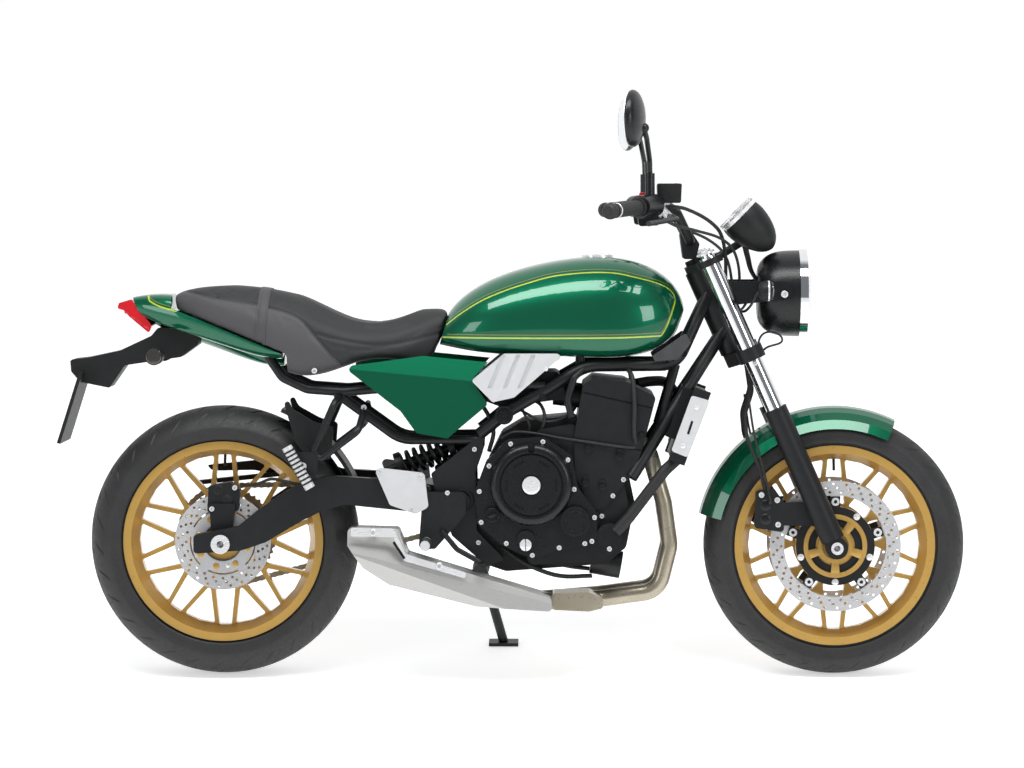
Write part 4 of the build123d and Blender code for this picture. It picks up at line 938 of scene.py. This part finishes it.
def front_end_trim():
    """Lamp internals, dials, mirror glass, fork caps, switches and lamp lenses."""
    glassy, silver, black, amber = bmesh.new(), bmesh.new(), bmesh.new(), bmesh.new()
    lamp = Vector((1227.84, 0, 877.96))
    bowl = lathe_mesh([(88, 93), (84, 84), (70, 66), (48, 52), (30, 46), (26, 60), (22, 68), (0, 74)],
                      lamp, FORE, 64)
    add("headlamp_reflector", bowl, REFLECTOR, "front_end", 30)
    prism(black, rounded([(1296, 872), (1318, 872), (1318, 884), (1296, 884)], 3), -84, 84, 1)
    dial_shapes = []
    for side in (-1, 1):
        face = Vector((1179.84, side * 52, 1061.96))
        axis = Vector((-1, 0, 1)).normalized()
        ring(silver, face - axis * 15, axis, 44, 47.4, 19, 56)
        ring(silver, face, axis, 36, 47.4, 4, 56)
        dial = lathe_mesh([(37, 0.5), (36, 1.2), (0, 1.2)], face, axis, 48)
        add("dial_right" if side < 0 else "dial_left", dial, DIAL, "front_end", 30)
        turn = Matrix.Translation(face) @ frame_of(axis)
        for index in range(25):
            angle = radians(-40 + 260 * index / 24)
            inner, wide = (26, 1.1) if index % 4 == 0 else (30, 0.6)
            aim, aside = Vector((cos(angle), sin(angle), 0)), Vector((-sin(angle), cos(angle), 0))
            corners = [aim * inner - aside * wide, aim * 34 - aside * wide, aim * 34 + aside * wide,
                       aim * inner + aside * wide]
            dial_shapes.append([turn @ (corner + Vector((0, 0, 1.6))) for corner in corners])
        needle = radians(212 if side < 0 else 205)
        aim, aside = Vector((cos(needle), sin(needle), 0)), Vector((-sin(needle), cos(needle), 0))
        corners = [-aim * 7 - aside * 1.4, aim * 29 - aside * 0.5, aim * 29 + aside * 0.5,
                   -aim * 7 + aside * 1.4]
        dial_shapes.append([turn @ (corner + Vector((0, 0, 2.2))) for corner in corners])
        knob(black, face + axis * 1.5, axis, 5, 2.4)
        mirror = Vector((928.84, side * 324, 1272.96))
        back = Vector((-20, -side * 5, 0)).normalized()
        knob(glassy, mirror + back * 0.2, back, 58, 1.6)
        ring(silver, mirror - back * 0.5, back, 58, 61.4, 2.6, 48)
        end = Vector((888.84, side * 390, 1068.96))
        out = (end - Vector((1008.84, side * 174, 1083.96))).normalized()
        ring(silver, end - out * 16, out, 15, 17.2, 2.4, 32)
        bolt(silver, end - out * 0.6, out, 6, 3.4)
        ring(silver, Vector((1243.8, side * 172, 887.96)), FORE, 21.6, 23.6, 2.6, 32)
        knob(amber, Vector((1251.4, side * 172, 887.96)), FORE, 19.5, 4)
        bolt(silver, Vector((1284, side * 112, 879)), LEFT_MM * side, 8, 5)
        top = FRONT_CENTRE + LEFT_MM * side * 100 + FORK_UP * (FORK_TUBES_TOP - 1)
        ring(silver, top, FORK_UP, 12, 20, 4, 32)
        bolt(silver, top, FORK_UP, 11, 9, "hexagon")
        for height, ahead in ((470, -1), (470, 1), (706, 1)):
            spot = FRONT_CENTRE + LEFT_MM * side * 122 + FORK_UP * (height + 8 * ahead)
            bolt(silver, spot, LEFT_MM * side, 5, 5)
    for x in (1003, 1035):
        bolt(silver, (x, -193, 1129.6), UP_MM, 3.6, 2, "dome")
    prism(black, rounded([(993, 1086), (1045, 1086), (1047, 1130), (991, 1130)], 5), -218.5, -167.5, 2)
    switch = bmesh.new()
    prism(switch, rounded([(950, 1098), (966, 1098), (964, 1110), (952, 1110)], 3), -206, -192, 1)
    add("stop_switch", switch, LENS_RED, "front_end", 30)
    marks = bmesh.new()
    for corners in dial_shapes:
        marks.faces.new([marks.verts.new(corner) for corner in corners])
    add("dial_marks", marks, SILVER, "front_end", 30)
    add("mirror_glasses", glassy, MIRROR_GLASS, "front_end", 30)
    add("front_end_bright", silver, STEEL, "front_end", 30)
    add("front_end_black", black, BLACK_PLASTIC, "front_end", 30)
    add("front_indicator_lenses", amber, LENS_AMBER, "front_end", 30)


def brakes_and_wheels():
    """Rotor bolts and buttons, hub castings, caliper bolts, axle rings and valves."""
    hub = FRONT_CENTRE
    bright, gold, dark = bmesh.new(), bmesh.new(), bmesh.new()

    def polar(centre, radius, angle, y):
        return centre + Vector((radius * cos(radians(angle)), y, radius * sin(radians(angle))))

    def plate(turn, corners):
        spots = [polar(hub, radius, turn + angle, 0) for radius, angle in corners]
        return [(spot.x, spot.z) for spot in spots]

    for side in (-1, 1):
        axis = LEFT_MM * side
        for index in range(5):
            bolt(bright, polar(hub, 83, 54 + 72 * index, side * 64.5), axis, 8, 3.4, "dome")
            spot = polar(hub, 102, 18 + 72 * index, side * 64.5)
            ring(bright, spot, axis, 4, 9.5, 2.4, 24)
            knob(dark, spot, axis, 4.2, 1)
            sector = [(45, -24 + 8 * step) for step in range(7)]
            sector += [(64, 26 - 52 * step / 6) for step in range(7)]
            prism(dark, plate(90 + 72 * index, sector), side * 60.2, side * 62)
            arm = plate(54 + 72 * index, ((36, -13), (66, -9), (66, 9), (36, 13)))
            prism(gold, arm, side * 60, side * 66.5, 1)
        ring(gold, hub + axis * 60, axis, 62, 73, 6.8, 60)
        ring(gold, hub + axis * 60, axis, 30, 40, 6.8, 48)
    add("front_wheel_bolts", bright, STEEL, "front_wheel", 30)
    add("front_hub_star", gold, GOLD, "front_wheel", 30)
    add("front_hub_dark", dark, BLACK_CAST, "front_wheel", 30)
    bright, gold = bmesh.new(), bmesh.new()
    for index in range(8):
        knob(gold, polar(REAR_CENTRE, 58, -105 + 45 * index, -72.6), RIGHT_MM, 7.5, 1.8)
    for index in range(4):
        bolt(bright, polar(REAR_CENTRE, 56, -78 + 90 * index, -72.6), RIGHT_MM, 5, 3, "dome")
    for index in range(5):
        bolt(bright, polar(REAR_CENTRE, 62, 20 + 72 * index, 94), LEFT_MM, 7, 5, "hexagon")
    for bm, centre, body in ((bmesh.new(), REAR_CENTRE, "rear_wheel"), (bmesh.new(), hub, "front_wheel")):
        stem = centre + Vector((0, 0, 196))
        sweep(bm, [stem, stem - Vector((0, 6, 16)), stem - Vector((0, 8, 26))], 3.2, 10)
        add(body.replace("wheel", "valve"), bm, RUBBER, body, 40)
    add("rear_wheel_bolts", bright, STEEL, "rear_wheel", 30)
    add("rear_disc_buttons", gold, GOLD, "rear_wheel", 30)
    calipers = surface("front_calipers", "fork_sliders", "rear_caliper", "swingarm")
    bolts, rings = bmesh.new(), bmesh.new()
    for side in (-1, 1):
        on_faces(bolts, calipers, [(1270, 408), (1272, 352), (1234, 420)], side, 6.5, 4)
        on_faces(rings, calipers, [(1244, 396), (1244, 364)], side, 13, 3, "dome")
        ring(bolts, (WHEELBASE, side * 125.6, FRONT_RADIUS), LEFT_MM * side, 8, 14, 2.6)
    add("front_caliper_bolts", bolts, STEEL, "front_end", 30)
    add("front_caliper_pistons", rings, BLACK_COVER, "front_end", 30)
    bolts, black = bmesh.new(), bmesh.new()
    on_faces(bolts, calipers, [(30, 436), (-22, 388)], -1, 6, 5)
    on_faces(black, calipers, [(-8, 430), (12, 406)], -1, 13, 3, "dome")
    ring(bolts, (0, -137.6, REAR_RADIUS), RIGHT_MM, 12, 21.5, 2.4)
    for side in (-1, 1):
        bracket = [(143, 630), (154, 635), (164, 614), (214, 586), (256, 575), (250, 500), (200, 500),
                   (168, 540)]
        prism(black, rounded(bracket, 8), side * 84, side * 88, 1)
    guard = [(-53, 474), (-40, 460), (60, 462), (150, 440), (250, 440), (300, 452), (230, 480), (145, 494)]
    prism(black, rounded(guard, 8), 103, 106, 1)
    add("rear_bright", bolts, STEEL, "chassis", 30)
    add("rear_guards", black, BLACK_PLASTIC, "chassis", 30)


def rear_lights():
    """Facets of the tail lamp and the indicator lenses."""
    red, amber = bmesh.new(), bmesh.new()
    for index in range(5):
        share = (index + 0.5) / 5
        x, z = -243 + 76 * share, 854 - 54 * share
        rib = rounded([(x - 6, z - 4), (x + 6, z - 8), (x + 4, z + 1), (x - 6, z + 4)], 2)
        prism(red, rib, -45.5, 45.5, 1)
    add("tail_lamp_ribs", red, LENS_RED, "chassis", 30)
    for side in (-1, 1):
        knob(amber, (-150, side * 127.4, 738), LEFT_MM * side, 18, 5)
    add("rear_indicator_lenses", amber, LENS_AMBER, "chassis", 30)


def radiator_core():
    """Folded fins on the radiator's front."""
    lean = radians(20)
    place = Matrix.Translation((1068, 0, 580)) @ Matrix.Rotation(lean, 4, "Y")
    depth = place.to_3x3() @ Vector((-3, 0, 0))
    bm = bmesh.new()
    for row in range(21):
        height = -72 + 7.2 * row
        rows = []
        for step in range(59):
            fold = 1 if step % 2 else -1
            point = place @ Vector((16.4 + 0.9 * fold, -116 + 4 * step, height + 2.6 * fold))
            rows.append((bm.verts.new(point), bm.verts.new(point + depth)))
        quads(bm, rows)
    add("radiator_fins", bm, SATIN_ALLOY, "chassis", 20)


def studio():
    """Pale floor, soft lights and the camera at the photo's angle."""
    bm = bmesh.new()
    bmesh.ops.create_grid(bm, x_segments=1, y_segments=1, size=40)
    data = bpy.data.meshes.new("floor")
    bm.to_mesh(data)
    bm.free()
    floor = bpy.data.objects.new("floor", data)
    scene.collection.objects.link(floor)
    floor_material = plain("floor_paper", (0.9, 0.9, 0.905), 0.8, vary=0.01, scale=0.6)
    tree = floor_material.node_tree
    feed(tree, tree.nodes["Principled BSDF"], {"Emission Color": (1, 1, 1, 1), "Emission Strength": 0.5})
    data.materials.append(floor_material)

    def softbox(name, place, target, size, power, colour=(1, 1, 1)):
        light = bpy.data.lights.new(name, "AREA")
        light.shape = "RECTANGLE"
        light.size, light.size_y = size
        light.energy = power
        light.color = colour
        lamp = bpy.data.objects.new(name, light)
        scene.collection.objects.link(lamp)
        lamp.location = place
        lamp.rotation_euler = (Vector(target) - Vector(place)).to_track_quat("-Z", "Y").to_euler()

    softbox("overhead_strip", (0.0, -1.0, 3.0), (0, -0.1, 0.6), (3.4, 0.8), 80)
    softbox("front_window", (3.0, -2.8, 1.9), (0.4, 0, 0.6), (1.1, 1.5), 32)
    softbox("rear_window", (-3.2, -2.8, 1.6), (-0.5, 0, 0.5), (1.0, 1.5), 20)
    world = bpy.data.worlds.new("studio")
    scene.world = world
    world.use_nodes = True
    tree = world.node_tree
    place = node(tree, "ShaderNodeTexCoord")
    parts = node(tree, "ShaderNodeSeparateXYZ", {"Vector": place.outputs["Generated"]})
    backdrop = ramp(tree, parts.outputs["Y"], 0.0, 0.3, (0.2, 0.21, 0.22), 1.0)
    feed(tree, tree.nodes["Background"], {"Color": backdrop})

    camera_data = bpy.data.cameras.new("camera")
    camera = bpy.data.objects.new("camera", camera_data)
    scene.collection.objects.link(camera)
    camera_place = Vector((768.9, -8324.0, 1100.0))
    camera_look = Vector((-0.0127, 1.0, -0.0518))
    ahead = (BIKE.to_3x3() @ camera_look).normalized()
    camera.location = BIKE @ camera_place
    right = FORE - ahead * FORE.dot(ahead)
    right.normalize()
    above = right.cross(ahead)
    camera.rotation_euler = Matrix((right, above, -ahead)).transposed().to_euler()
    camera_data.sensor_width = 36
    camera_data.lens = 127.0
    camera_data.clip_end = 100
    scene.camera = camera
    scene.view_settings.view_transform = "Standard"


dress_cad_nodes()
treaded_tyre("front_tyre_tread", "front_tyre", FRONT_CENTRE, FRONT_RADIUS, 60.0, 44.0, "front_wheel")
treaded_tyre("rear_tyre_tread", "rear_tyre", REAR_CENTRE, REAR_RADIUS, 80.0, 56.5, "rear_wheel")
chain_links()
soft_seat()
pinstripes()
engine_trim()
lines_and_wires()
body_trim()
front_end_trim()
brakes_and_wheels()
rear_lights()
radiator_core()
studio()
